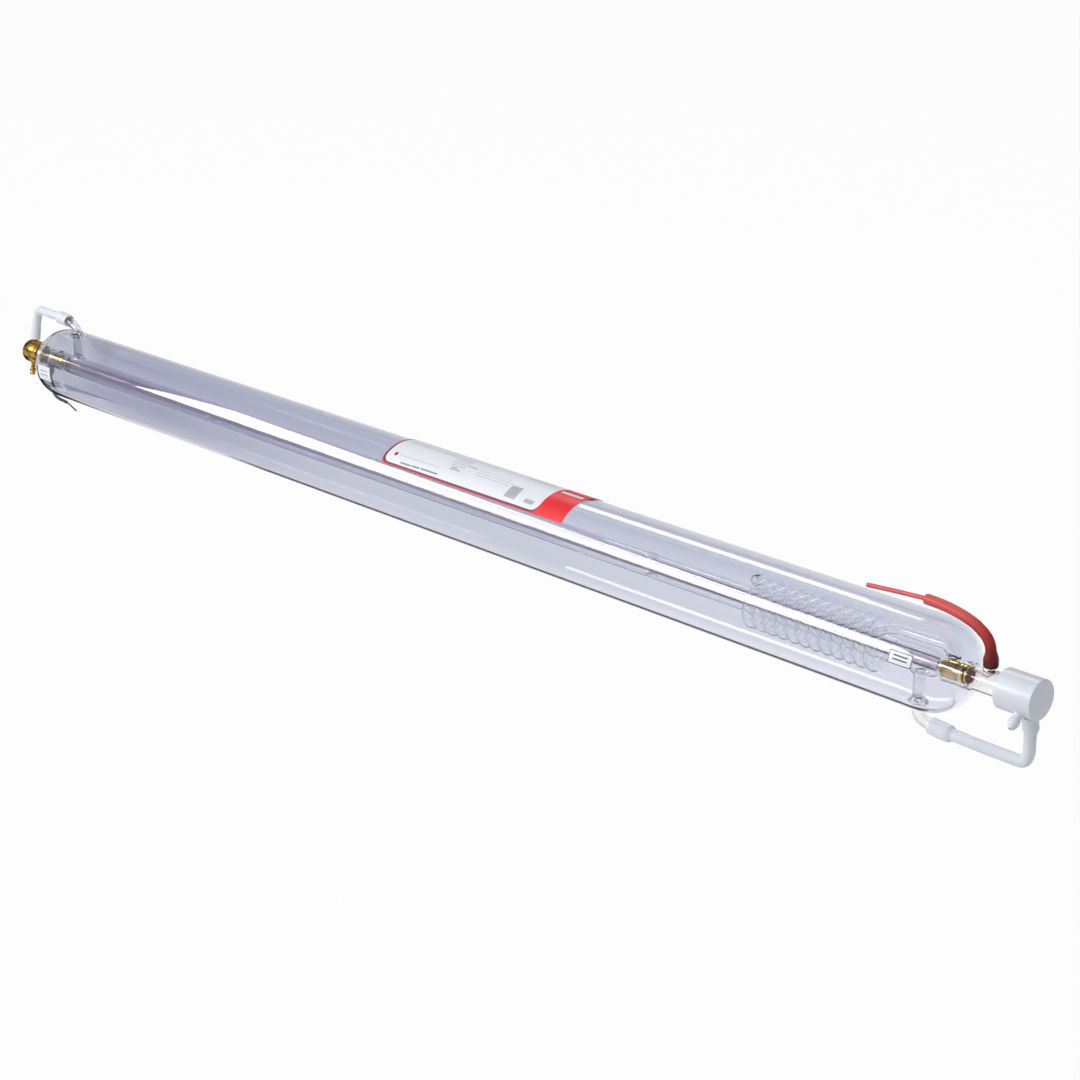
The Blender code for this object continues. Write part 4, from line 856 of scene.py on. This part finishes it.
def bulb_outline(start, dome_end, neck_end, thickness):
    """One side of a bulb's wall, from the discharge tube to the end of the neck."""
    side = math.copysign(1.0, neck_end)
    bulb_radius = BULB_RADIUS - thickness
    neck_radius = NECK_RADIUS - thickness
    outline = [(start + side * (thickness + along), radius)
               for along, radius in closed_end(bulb_radius)]
    outline += [(dome_end + side * (BULB_PAST_DOME + NECK_TAPER * share),
                 bulb_radius + (neck_radius - bulb_radius) * ease(share)) for share in shares(8)]
    return outline + [(neck_end, neck_radius)]


def build_bulbs():
    for name, *ends, pin_x, up in (
            ("anode", WATER_JACKET_ANODE_END + SEAT_GAP, ANODE_DOME_END, ANODE_NECK_END,
             ANODE_PIN_X, 1),
            ("cathode", WATER_JACKET_CATHODE_END - SEAT_GAP, CATHODE_DOME_END, CATHODE_NECK_END,
             CATHODE_PIN_X, -1)):
        outline = bulb_outline(*ends, 0.0) + bulb_outline(*ends, BULB_WALL)[::-1]
        bulb = turned(name + "_glass_bulb", outline, INNER_CLEAR, 96)
        cut_upright(bulb, pin_x, up, NECK_RADIUS / 2, NECK_RADIUS * 2, PIN_RADIUS + SEAT_GAP, 24)
        if name == "anode":
            cut_round(bulb, GAS_PORT - GAS_PORT_DIRECTION * 2 * COIL_TUBE_RADIUS,
                      GAS_PORT + GAS_PORT_DIRECTION * COIL_BORE_RADIUS, COIL_BORE_RADIUS)
        else:
            vent_x = (ends[0] + ends[1]) / 2
            cut_upright(bulb, vent_x, 1, BULB_RADIUS / 2, BULB_RADIUS * 2, COIL_BORE_RADIUS)
        show(bulb, "clear_glass", name + "_bulb")


# Electrodes, pins and seals

def build_electrode(name, start, end, outer, grooves):
    """A cup of thin gold sheet, open at both ends, its inner face darkened with painted shade."""
    inner = outer - ELECTRODE_WALL
    low, high = min(start, end), max(start, end)
    crests = []
    for number in range(grooves):
        middle = low + (high - low) * (number + 1) / (grooves + 1)
        crests += [(middle + step * GROOVE_WIDTH / 4, outer - depth * GROOVE_DEPTH)
                   for step, depth in ((-2, 0.0), (-1, 0.7), (0, 1.0), (1, 0.7), (2, 0.0))]
    edges = [ELECTRODE_WALL * 0.45] * 2
    outline = rounded([(low, inner), (low, outer), *crests, (high, outer), (high, inner)],
                      edges + [0.0] * len(crests) + edges)
    electrode = turned(name + "_gold_sheet", outline, GOLD, 96)
    # The inner faces take the darker gold: painted shade inside the cup.
    electrode.data.materials.append(GOLD_INSIDE_SHADE)
    for face in electrode.data.polygons:
        inward = face.normal.y * face.center.y + face.normal.z * face.center.z < 0
        face.material_index = 1 if inward else 0
    show(electrode, "gold_electrode", name)


def build_pin(name, pin_x, side, electrode_end, electrode_radius):
    """A wire through its seal, bent along the neck onto the electrode's inner wall."""
    level = electrode_radius - ELECTRODE_WALL - 1.6 * PIN_RADIUS - SEAT_GAP
    bend = PIN_RADIUS * 3
    route = [Vector((pin_x, 0, side * PIN_TOP)), Vector((pin_x, 0, side * (level + bend * 2)))]
    for angle in quarter(12):
        route.append(Vector((pin_x - side * bend * (1 - math.cos(angle)), 0,
                             side * (level + bend * (1 - math.sin(angle))))))
    route.append(Vector((electrode_end - side * PIN_LAP, 0, side * level)))
    rings = rings_along(route, [PIN_RADIUS] * len(route), 20)
    show(skinned(name + "_wire", rings, PIN_METAL, closed=False), "pin_wire", name)


def seated_ring(seat, radius, lift=0.0, flatness=0.0, level=0.0):
    """A ring round a vertical line that follows a lying cylinder, or a level as it flattens."""
    x, up, wall_radius = seat
    ring = []
    for angle in circle(SEATED_SIDES):
        y = radius * math.cos(angle)
        height = math.sqrt(max(wall_radius ** 2 - y ** 2, 0.0)) + lift
        height += (level - height) * flatness
        ring.append(Vector((x - up * radius * math.sin(angle), y, up * height)))
    return ring


def build_pin_seal(name, pin_x, side):
    """A flared glass foot on the neck, drawn in to a stem round the pin."""
    foot, stem, hole = SEAL_FOOT_RADIUS, SEAL_STEM_RADIUS, PIN_RADIUS + SEAT_GAP
    bottom = NECK_RADIUS + SEAT_GAP
    shoulder = bottom + SEAL_FOOT_HEIGHT
    top = NECK_RADIUS + SEAL_HEIGHT
    seat = (pin_x, side, bottom)
    rings = [seated_ring(seat, foot + (stem - foot) * ease(share) ** 0.6, 0.0, share,
                         bottom + SEAL_FOOT_HEIGHT * share) for share in shares(8)]
    rings += [seated_ring(seat, hole + (stem - hole) * math.cos(angle), 0.0, 1.0,
                          shoulder + (top - shoulder) * math.sin(angle)) for angle in quarter(8, 1)]
    rings += [seated_ring(seat, hole + (foot - hole) * share) for share in shares(8, 1)[:-1]]
    show(skinned(name + "_glass", rings, SEAL_GLASS), "seal_glass", name)


def build_electrodes():
    for name, (start, end, radius), pin_x, side, grooves in (
            ("anode", ANODE_ELECTRODE, ANODE_PIN_X, 1, 0),
            ("cathode", CATHODE_ELECTRODE, CATHODE_PIN_X, -1, CATHODE_GROOVES)):
        build_electrode(name + "_electrode", start, end, radius, grooves)
        build_pin(name + "_pin", pin_x, side, end, radius)
    build_pin_seal("anode_seal", ANODE_PIN_X, 1)
    build_pin_seal("cathode_seal", CATHODE_PIN_X, -1)


# Gas return coil

def onto_cylinder(point, direction, wall_radius):
    """Carries a point along a direction onto a cylinder round the X axis."""
    a = direction.y ** 2 + direction.z ** 2
    b = point.y * direction.y + point.z * direction.z
    c = point.y ** 2 + point.z ** 2 - wall_radius ** 2
    return point + direction * ((-b - math.sqrt(max(b * b - a * c, 0.0))) / a)


def build_gas_return():
    """A coil round the water jacket, then a straight run and a slope down to the anode bulb."""
    route = []
    for share in shares(380):
        turns = COIL_TURNS * share
        angle = math.pi / 2 - math.tau * turns
        route.append(Vector((COIL_START + COIL_PITCH * turns, COIL_RADIUS * math.cos(angle),
                             COIL_RADIUS * math.sin(angle))))
    width = 2 * COIL_TUBE_RADIUS
    pull = Vector((COIL_BEND, 0, 0))
    heading = (route[-1] - route[-2]).normalized()
    run_start = Vector((COIL_RUN_START, 0, COIL_RADIUS))
    route += bezier(route[-1], route[-1] + heading * width, run_start - pull, run_start)
    run_end = Vector((ANODE_SHOULDER + COIL_TUBE_RADIUS, 0, COIL_RADIUS))
    last = GAS_PORT - GAS_PORT_DIRECTION * width * 0.72
    route += bezier(run_end, run_end + pull, last - GAS_PORT_DIRECTION * width * 0.6, last)
    rim_shares = [0.93] + [1.0] * (len(route) - 1)
    outer = rings_along(route, [COIL_TUBE_RADIUS * share for share in rim_shares], 24)
    inner = rings_along(route, [COIL_BORE_RADIUS / share for share in rim_shares], 24)
    for rings in (outer, inner):
        rings.append([onto_cylinder(point, GAS_PORT_DIRECTION, BULB_RADIUS + SEAT_GAP)
                      for point in rings[-1]])
    show(skinned("coil_glass", outer + inner[::-1], COIL_GLASS), "clear_glass", "gas_return_coil")


# Rear cap and mirror

def radial(x, angle):
    """Places a piece turned about X so that it stands out from the axis, at an angle from down."""
    return Matrix.Translation((x, 0, 0)) @ Matrix.Rotation(angle, 4, "X") @ Matrix.Rotation(
        math.pi / 2, 4, "Y")


def nozzle_outline():
    """Olive-shaped hose nozzle with a fillet at its root, open at its tip."""
    surface, tip = CAP_RADIUS, CAP_NOZZLE_TIP
    neck, olive, bore = CAP_NOZZLE_NECK, CAP_NOZZLE_OLIVE, CAP_NOZZLE_BORE
    outline = [(surface * 0.6, bore), (surface * 0.6, neck)]
    outline += [(surface - NOZZLE_FILLET_DEPTH + NOZZLE_FILLET_LENGTH * share,
                 neck + NOZZLE_FILLET_WIDTH * (1 - share) ** 2) for share in shares(6)]
    for share in shares(14):
        swell = math.sin(math.pi * share ** 0.8)
        radius = neck + (olive - neck) * swell - (neck - olive * 0.58) * ease((share - 0.5) * 2)
        outline.append((surface + (tip - surface) * (0.22 + 0.76 * share), radius))
    return outline + [(tip, olive * 0.50), (tip, bore)]


def build_rear_cap():
    seat = NECK_RADIUS + SEAT_GAP
    floor = CAP_BACK + CAP_SEAT_DEPTH
    outline = [(CAP_BACK, seat), (CAP_BACK, CAP_RADIUS), (CAP_FACE, CAP_RADIUS), (CAP_FACE, 0.0),
               (floor, 0.0), (floor, seat)]
    bm = bmesh.new()
    spun(bm, rounded(outline, [0.0003, 0.0010, 0.0010, 0, 0, 0], 6), 128)
    for angle in (BARE_NOZZLE_ANGLE, HOSED_NOZZLE_ANGLE):
        nozzle = bmesh.new()
        spun(nozzle, nozzle_outline(), 48)
        bmesh.ops.transform(nozzle, matrix=radial(CAP_NOZZLE_X, angle), verts=nozzle.verts)
        merge(bm, nozzle)
    show(finish(bm, "white_cap", WHITE_PLASTIC), "white_plastic", "rear_cap")
    start = ANODE_NECK_END + SEAT_GAP
    mirror = disc("polished_mirror", start, start + MIRROR_THICKNESS, NECK_RADIUS, 0.0004,
                  MIRROR_METAL)
    show(mirror, "mirror_metal", "rear_mirror")


# Output head, window, ring and barbs

def build_output_head():
    back, face, wide, collar = HEAD_BACK, HEAD_FACE, HEAD_RADIUS, COLLAR_RADIUS
    shoulder = back - COLLAR_LENGTH
    rim = shoulder - HEAD_CONE_LENGTH
    groove = (back + shoulder) / 2
    depth = HEAD_GROOVE_DEPTH
    seat = NECK_RADIUS + SEAT_GAP
    neck_floor = CATHODE_NECK_END - SEAT_GAP
    window_back = face + WINDOW_THICKNESS
    window_floor = window_back + SEAT_GAP
    window_seat = WINDOW_RADIUS + SEAT_GAP
    outline = [(back, seat), (back, collar), (groove + depth, collar), (groove, collar - depth),
               (groove - depth, collar), (shoulder, collar),
               ((shoulder + rim) / 2, (wide + collar) / 2 + depth / 2), (rim, wide), (face, wide),
               (face, window_seat), (window_floor, window_seat), (window_floor, APERTURE_RADIUS),
               (neck_floor, APERTURE_RADIUS), (neck_floor, seat)]
    radii = [0.0002, 0.0006, 0.0002, 0.0002, 0.0002, 0.0012, 0.003, 0.0012, 0.0006,
             0.0002, 0.0, 0.0, 0.0, 0.0]
    head = turned("brass_head", rounded(outline, radii), BRASS, 128)
    for _, angle in BARB_ANGLES:
        place = radial(BARB_X, angle)
        cut_round(head, place @ Vector((wide - BARB_HOLE_DEPTH, 0, 0)),
                  place @ Vector((wide * 1.2, 0, 0)), BARB_SHANK_RADIUS + SEAT_GAP)
    show(head, "brass", "output_head")
    window = disc("amber_window", window_back, face, WINDOW_RADIUS, 0.0003, WINDOW_AMBER)
    show(window, "window_amber", "output_window")
    ring_back = face - SEAT_GAP
    ring_front = ring_back - RING_THICKNESS
    outline = rounded([(ring_back, APERTURE_RADIUS), (ring_back, RING_RADIUS),
                       (ring_front, RING_RADIUS), (ring_front, APERTURE_RADIUS)],
                      [0.0002, 0.0003, 0.0007, 0.0009])
    show(turned("brass_ring", outline, BRASS, 128), "brass", "retaining_ring")


def build_barbs():
    """Turned brass hose barbs, screwed into the top and the bottom of the head."""
    foot = HEAD_RADIUS - BARB_ROOT_DEPTH
    top = HEAD_RADIUS + BARB_COLLAR_HEIGHT
    reach = BARB_TIP - top
    waist, widest = BARB_WAIST, BARB_RADIUS
    outline = [(foot, BARB_BORE), (foot, BARB_SHANK_RADIUS), (top, BARB_SHANK_RADIUS),
               (top, waist), (top + reach * 0.42, waist), (top + reach * 0.48, widest),
               (top + reach * 0.62, widest), (top + reach * 0.72, widest * 0.82),
               (top + reach * 0.78, widest * 0.94), (BARB_TIP, widest * 0.74),
               (BARB_TIP, BARB_BORE)]
    radii = [0, 0.0003, 0.0005, 0.0004, 0.0008, 0.0004, 0.0004, 0.0004, 0.0004, 0.0005, 0.0003]
    for name, angle in BARB_ANGLES:
        barb = turned(name + "_brass", rounded(outline, radii), BRASS, 64, radial(BARB_X, angle))
        show(barb, "brass", name)


# Glass water connections

def build_water_glass(name, x, up, points):
    """A glass tube from the water jacket, sealed through the outer jacket and bent outside it."""
    outer, bore, height = WATER_GLASS_RADIUS, WATER_GLASS_BORE, WATER_GLASS_FLARE_HEIGHT
    flare = WATER_GLASS_FLARE - outer
    seat = WATER_JACKET_RADIUS + 2 * SEAT_GAP
    wall = JACKET_RADIUS - JACKET_WALL - 2 * SEAT_GAP
    rim = JACKET_RADIUS + SEAT_GAP / 2
    on_seat, on_wall, on_rim = (x, up, seat), (x, up, wall), (x, up, rim)
    outside = [seated_ring(on_seat, outer + flare * (1 - share) ** 2, 0.0, share,
                           seat + height * share) for share in shares(8)]
    for share in shares(8):
        drop = height * (1 - share)
        outside.append(seated_ring(on_wall, outer + flare * share ** 2, -drop, 1 - share,
                                   wall - drop))
    outside += [seated_ring(on_wall, outer), seated_ring(on_rim, outer)]
    for share in shares(6):
        rise = OUTER_FILLET * 0.9 * share
        outside.append(seated_ring(on_rim, outer + OUTER_FILLET * (1 - share) ** 2, rise,
                                   0.6 * share, rim + rise))
    route = smooth_route(points, WATER_GLASS_SPACING)
    clear = [point for point in route if abs(point.z) > JACKET_RADIUS + OUTER_FILLET]
    outside += rings_along(clear, [outer] * len(clear), SEATED_SIDES)
    inside = [seated_ring(on_seat, (WATER_GLASS_FLARE + bore) / 2), seated_ring(on_seat, bore)]
    inside += rings_along(route, [bore] * len(route), SEATED_SIDES)
    show(skinned(name + "_glass", outside + inside[::-1], INNER_CLEAR), "clear_glass", name)


# Silicone hoses

def hose_radii(route, barb_lap, barb_radius):
    """Outer and inner radii along a hose, stretched over the glass at its start and a barb."""
    distances = route_distances(route)
    total = distances[-1]
    outer_radii, inner_radii = [], []
    for distance in distances:
        on_glass = 1 - ease((distance - HOSE_LAP_ON_GLASS) / HOSE_RADIUS)
        on_barb = ease((distance - (total - barb_lap - HOSE_RADIUS)) / HOSE_RADIUS)
        inner = HOSE_BORE_RADIUS
        inner += (WATER_GLASS_RADIUS + SEAT_GAP - inner) * on_glass
        inner += (barb_radius + SEAT_GAP - inner) * on_barb
        wall = HOSE_RADIUS - HOSE_BORE_RADIUS
        wall += (HOSE_STRETCHED_WALL - wall) * max(on_glass, on_barb)
        rim = HOSE_RIM_DROP * (1 - ease(min(distance, total - distance) / HOSE_RIM))
        inner_radii.append(inner)
        outer_radii.append(inner + wall - rim)
    return outer_radii, inner_radii


def hose_route(glass_points, beyond):
    """Starts on the glass's own line, so that the hose lies on it, then runs on through others."""
    glass = smooth_route(glass_points, HOSE_POST_SPACING)
    distances = route_distances(glass)
    lap_start = distances[-1] - HOSE_LAP_ON_GLASS
    lapped = [point for point, along in zip(glass, distances) if along > lap_start]
    return smooth_route([*lapped, *beyond], HOSE_SPACING)


def inlet_hose_route():
    """From over the inlet elbow, along below the neck, and up onto the cap's hosed nozzle."""
    nozzle = Vector((0, math.sin(HOSED_NOZZLE_ANGLE), -math.cos(HOSED_NOZZLE_ANGLE)))
    station = Vector((CAP_NOZZLE_X, 0, 0))
    tip = station + nozzle * CAP_NOZZLE_TIP
    top = station + nozzle * (CAP_NOZZLE_TIP - HOSE_LAP_ON_NOZZLE)
    start = INLET_HOSE_START
    span = tip.x - start
    beyond = [Vector((x, tip.y * aside, INLET_HOSE_LEVEL + rise)) for x, aside, rise in (
        (start + span * 0.20, 0.0, -0.0020), (start + span * 0.45, 0.3, -0.0036),
        (start + span * 0.70, 0.7, -0.0052), (tip.x - 0.0090, 0.95, -0.0062),
        (tip.x - 0.0030, 1.0, -0.0046), (tip.x, 1.02, 0.0020), (tip.x, 1.02, 0.0110))]
    return hose_route(INLET_ROUTE, [*beyond, tip, tip.lerp(top, 0.5), top])


def outlet_hose_route():
    """From over the outlet gooseneck, along above the neck, and down onto the upper barb."""
    place = radial(BARB_X, math.pi - HEAD_TURN)
    tip = place @ Vector((BARB_TIP, 0, 0))
    foot = place @ Vector((BARB_TIP - HOSE_LAP_ON_BARB, 0, 0))
    span = OUTLET_HOSE_START - tip.x
    beyond = [Vector((tip.x + along, tip.y * aside, OUTLET_HOSE_LEVEL + rise))
              for along, aside, rise in (
                  (span * 0.75, 0.2, 0.0002), (span * 0.45, 0.5, -0.0002), (0.0145, 0.9, -0.0010),
                  (0.0070, 1.1, -0.0052), (0.0030, 1.2, -0.0125))]
    return hose_route(OUTLET_ROUTE, [*beyond, tip, tip.lerp(foot, 0.5), foot])


def build_hoses():
    for name, route, lap, barb_radius in (
            ("inlet_hose", inlet_hose_route(), HOSE_LAP_ON_NOZZLE, CAP_NOZZLE_OLIVE),
            ("outlet_hose", outlet_hose_route(), HOSE_LAP_ON_BARB, BARB_RADIUS)):
        outer, inner = hose_radii(route, lap, barb_radius)
        hose = hollow_tube(name + "_tube", route, outer, inner, HOSE_SIDES, SILICONE)
        show(hose, "silicone_hose", name)


# Stickers, laid out flat as (distance along, distance round) and wrapped on the jacket

def wrapped(x, angle, lift):
    """A point over the outer jacket, at an angle up from the camera's side of the tube."""
    radius = jacket_radius(x) + lift
    return Vector((x, -radius * math.cos(angle), radius * math.sin(angle)))


def rectangle(left, right, low, high):
    return [(left, low), (right, low), (right, high), (left, high)]


def rounded_rectangle(left, right, low, high, left_radius, right_radius):
    radii = [left_radius, right_radius, right_radius, left_radius]
    return rounded(rectangle(left, right, low, high), radii, 8)


def add_patch(bm, outline, lift, material_index, thickness=0.0, step_along=None):
    """Wraps a flat outline onto the jacket as a patch, or as a sheet if it is thick."""
    flat = bmesh.new()
    flat.faces.new([flat.verts.new((*point, 0.0)) for point in outline])
    for axis, step in ((1, PATCH_SPACING), (0, step_along)):
        if step is None:
            continue
        low = min(point[axis] for point in outline)
        high = max(point[axis] for point in outline)
        normal = Vector((1.0 - axis, axis, 0.0))
        count = int((high - low) / step)
        for number in range(1, count + 1):
            level = low + (high - low) * number / (count + 1)
            bmesh.ops.bisect_plane(flat, geom=flat.verts[:] + flat.edges[:] + flat.faces[:],
                                   plane_co=normal * level, plane_no=normal, dist=1e-7)
    if thickness:
        bmesh.ops.recalc_face_normals(flat, faces=flat.faces)
        raised = bmesh.ops.extrude_face_region(flat, geom=flat.faces[:])["geom"]
        for vert in raised:
            if isinstance(vert, bmesh.types.BMVert):
                vert.co.z = thickness
    for vert in flat.verts:
        vert.co = wrapped(vert.co.x, vert.co.y / JACKET_RADIUS, lift + vert.co.z)
    for face in flat.faces:
        face.material_index = material_index
    merge(bm, flat)


def build_label():
    """Red rating label with a white panel: plain bars and blocks stand where its print was."""
    low, high, left = LABEL_LOW, LABEL_HIGH, LABEL_START
    bm = bmesh.new()
    add_patch(bm, rounded_rectangle(left, LABEL_END, low, high, LABEL_CORNER, STICKER_CORNER),
              STICKER_LIFT, 1, STICKER_THICKNESS)
    lift = STICKER_LIFT + STICKER_THICKNESS + PRINT_LIFT
    for edge, material_index in ((LABEL_RED_EDGE, 2), (LABEL_RED_EDGE + LABEL_DARK_LINE, 0)):
        panel = rounded_rectangle(left + edge, LABEL_PANEL_END, low + edge, high - edge,
                                  PANEL_CORNER, PANEL_CORNER)
        add_patch(bm, panel, lift, material_index)
        lift += PRINT_LIFT
    for size, material_index in ((LABEL_DOT_RADIUS, 1), (LABEL_DOT_RADIUS / 2, 2)):
        dot = [(LABEL_DOT[0] + size * math.cos(angle), LABEL_DOT[1] + size * math.sin(angle))
               for angle in circle(24)]
        add_patch(bm, dot, lift + (material_index - 1) * PRINT_LIFT, material_index)
    for bars, material_index in ((DARK_BARS, 3), (PALE_BARS, 4), (WHITE_BARS, 0)):
        for start, length, angle, thickness in bars:
            base = math.radians(angle) * JACKET_RADIUS - thickness / 2
            add_patch(bm, rectangle(start, start + length, base, base + thickness), lift,
                      material_index)
    label = finish(bm, "label_sheet", STICKER_WHITE, PRINT_RED, PRINT_MAROON, PRINT_GREY,
                   PRINT_PALE)
    show(label, "sticker_white", "rating_label")


def build_tag(name, left, right, lower, upper, border, ink):
    """Small white tag with a thin border and two plain bars."""
    low, high = lower * JACKET_RADIUS, upper * JACKET_RADIUS
    bm = bmesh.new()
    add_patch(bm, rounded_rectangle(left, right, low, high, STICKER_CORNER, STICKER_CORNER),
              STICKER_LIFT, 0, STICKER_THICKNESS, TAG_SPACING)
    lift = STICKER_LIFT + STICKER_THICKNESS + PRINT_LIFT
    for inset, material_index in ((TAG_MARGIN, 1), (TAG_MARGIN + border, 0)):
        panel = rounded_rectangle(left + inset, right - inset, low + inset, high - inset,
                                  STICKER_CORNER, STICKER_CORNER)
        add_patch(bm, panel, lift, material_index, step_along=TAG_SPACING)
        lift += PRINT_LIFT
    middle = (left + right) / 2
    half = (right - left) * TAG_BAR_HALF_WIDTH
    height = high - low
    for share in TAG_BAR_LEVELS:
        base = low + height * share
        bar = rectangle(middle - half, middle + half, base, base + height * TAG_BAR_HEIGHT)
        add_patch(bm, bar, lift, 1, step_along=TAG_SPACING)
    show(finish(bm, name + "_sheet", STICKER_WHITE, ink), "sticker_white", name)


# Camera, floor, lights and world

def build_camera():
    camera = bpy.data.cameras.new("photo_camera")
    camera.lens = CAMERA_LENS
    camera.sensor_width = 36.0
    camera.clip_end = 200.0
    holder = add_object("photo_camera", camera)
    holder.location = CAMERA_PLACE
    holder.rotation_euler = (math.pi / 2 - CAMERA_ELEVATION, 0.0, CAMERA_AZIMUTH)
    bpy.context.scene.camera = holder


def build_floor():
    """A floor white to the eye and to glass, which keeps a shadow. Through glass its far part and
    its left part are darker, as painted shade."""
    material = bpy.data.materials.new("studio_floor")
    material.use_nodes = True
    tree = material.node_tree
    tree.nodes.clear()
    parts = axes(tree, wired(tree, "TexCoord", "Object", {}))
    rays = wired(tree, "LightPath", 0, {}).node.outputs
    in_glass = rays["Is Transmission Ray"]
    # Painted shade, seen only through glass: the floor's far part and its left part are darkened.
    far = product(tree, levels(tree, parts["Y"], *FLOOR_FAR_SHADE_Y), in_glass)
    slanted = maths(tree, "MULTIPLY_ADD", parts["Y"], FLOOR_SHADE_SLANT, parts["X"])
    shaded = product(tree, levels(tree, slanted, *FLOOR_SHADE_ALONG),
                     levels(tree, parts["Y"], *FLOOR_SHADE_Y), in_glass)
    colour = blended(tree, far, WHITE, FLOOR_FAR_SHADE_COLOUR)
    colour = blended(tree, shaded, colour, FLOOR_SHADE_COLOUR)
    seen = maths(tree, "MAXIMUM", rays["Is Camera Ray"], rays["Is Glossy Ray"])
    seen = maths(tree, "MAXIMUM", seen, in_glass)
    surface = wired(tree, "MixShader", 0, {
        0: product(tree, seen, FLOOR_WHITENESS),
        1: wired(tree, "BsdfDiffuse", 0, {"Color": opaque(FLOOR_GREY)}),
        2: wired(tree, "Emission", 0, {"Color": colour})})
    connect(tree, surface, tree.nodes.new("ShaderNodeOutputMaterial").inputs["Surface"])
    bm = bmesh.new()
    bmesh.ops.create_grid(bm, x_segments=1, y_segments=1, size=FLOOR_SIZE / 2,
                          matrix=Matrix.Translation((0, 0, FLOOR_LEVEL)))
    floor = finish(bm, "studio_floor", material)


def build_floor_shade_cards():
    """Dark cards on the floor, painted shade of the floor under and to the left of the tube, that
    only glass and metal see, and that draw their edges.
    """
    bm = bmesh.new()
    # Each card is painted shade of the floor, lying just above it.
    for card in FLOOR_SHADE_CARDS:
        bm.faces.new([bm.verts.new((x, y, FLOOR_LEVEL + CARD_LIFT)) for x, y in rectangle(*card)])
    material = new_material("floor_shade_card", (0.03, 0.03, 0.045), 1.0, {"Specular IOR Level": 0.0})[0]
    cards = finish(bm, "floor_shade_cards", material)
    cards.visible_camera = False
    cards.visible_diffuse = False
    cards.visible_shadow = False


def build_softbox(name, place, target, width, height, radiance, diffuse=True, glossy=True,
                  roll=0.0, colour=WHITE):
    """A flat area light whose face has the given radiance."""
    light = bpy.data.lights.new(name, "AREA")
    light.shape = "RECTANGLE"
    light.size = width
    light.size_y = height
    light.energy = radiance * math.pi * width * height
    light.color = colour
    holder = add_object(name, light)
    holder.location = place
    direction = Vector(target) - Vector(place)
    turn = direction.to_track_quat("-Z", "Y") @ Quaternion((0.0, 0.0, 1.0), roll)
    holder.rotation_euler = turn.to_euler()
    holder.visible_diffuse = diffuse
    holder.visible_glossy = glossy
    holder.visible_transmission = glossy


def build_lights():
    """Three softboxes that only the glass and the metals see: a broad one at the camera's side, a
    small warm one far to the left and a strip above and behind. Two fills light the rest."""
    build_softbox("key_softbox", (-0.6854, -0.9836, 0.5692), (-0.2687, -0.1356, 0.2415), 1.63,
                  0.455, 8.5, diffuse=False, roll=math.radians(1.5))
    build_softbox("side_softbox", (-2.15, -0.95, 0.50), (-0.64, 0.0, 0.0), 0.07, 0.14, 4.5,
                  diffuse=False, colour=(1.0, 0.84, 0.55))
    build_softbox("strip_softbox", (-0.33, 0.82, 1.26), (-0.33, 0.0, 0.0), 1.70, 0.30, 5.2,
                  diffuse=False)
    build_softbox("soft_fill", (-0.80, -1.80, 2.60), (-0.1, 0.0, 0.0), 3.0, 2.0, 2.8, glossy=False)
    build_softbox("front_fill", (-0.50, -2.50, 0.50), (0.1, 0.0, 0.0), 2.0, 1.5, 1.8, glossy=False)


def build_world():
    """Soft room light, white to the camera. What glass and metal mirror and what glass refracts
    is a darker room, with a bright ceiling near the camera."""
    world = bpy.data.worlds.new("studio_room")
    world.use_nodes = True
    tree = world.node_tree
    parts = axes(tree, wired(tree, "TexCoord", "Generated", {}))
    rays = wired(tree, "LightPath", 0, {}).node.outputs
    glow = product(tree, levels(tree, parts["Y"], *GLOW_Y), levels(tree, parts["X"], *GLOW_X),
                   levels(tree, parts["Z"], *GLOW_Z))
    mirrored = blended(tree, glow, ramp(tree, parts["Z"], MIRRORED_ROOM), CEILING_GLOW)
    mirrored = blended(tree, levels(tree, parts["X"], *DARK_WALL_X), mirrored, DARK_WALL)
    seen = blended(tree, rays["Is Glossy Ray"], ROOM_GREY, mirrored)
    seen = blended(tree, rays["Is Transmission Ray"], seen, ramp(tree, parts["Z"], REFRACTED_ROOM))
    seen = blended(tree, rays["Is Camera Ray"], seen, WHITE)
    background = tree.nodes["Background"]
    connect(tree, seen, background.inputs["Color"])
    background.inputs["Strength"].default_value = 1.0
    bpy.context.scene.world = world


def set_render():
    scene = bpy.context.scene
    scene.view_settings.view_transform = "Standard"
    scene.cycles.max_bounces = 32
    scene.cycles.transmission_bounces = 32
    scene.cycles.glossy_bounces = 12
    scene.cycles.diffuse_bounces = 4
    scene.cycles.transparent_max_bounces = 32


build_camera()
build_cords()
build_outer_jacket()
build_water_jacket()
build_discharge_tube()
build_bulbs()
build_electrodes()
build_gas_return()
build_rear_cap()
build_output_head()
build_barbs()
build_water_glass("inlet_elbow", INLET_X, -1, INLET_ROUTE)
build_water_glass("outlet_gooseneck", OUTLET_X, 1, OUTLET_ROUTE)
build_hoses()
build_label()
build_tag("inlet_tag", *INLET_TAG, 0.0007, PRINT_BLACK)
build_tag("outlet_tag", *OUTLET_TAG, 0.0002, PRINT_PALE)
build_floor()
build_floor_shade_cards()
build_lights()
build_world()
set_render()
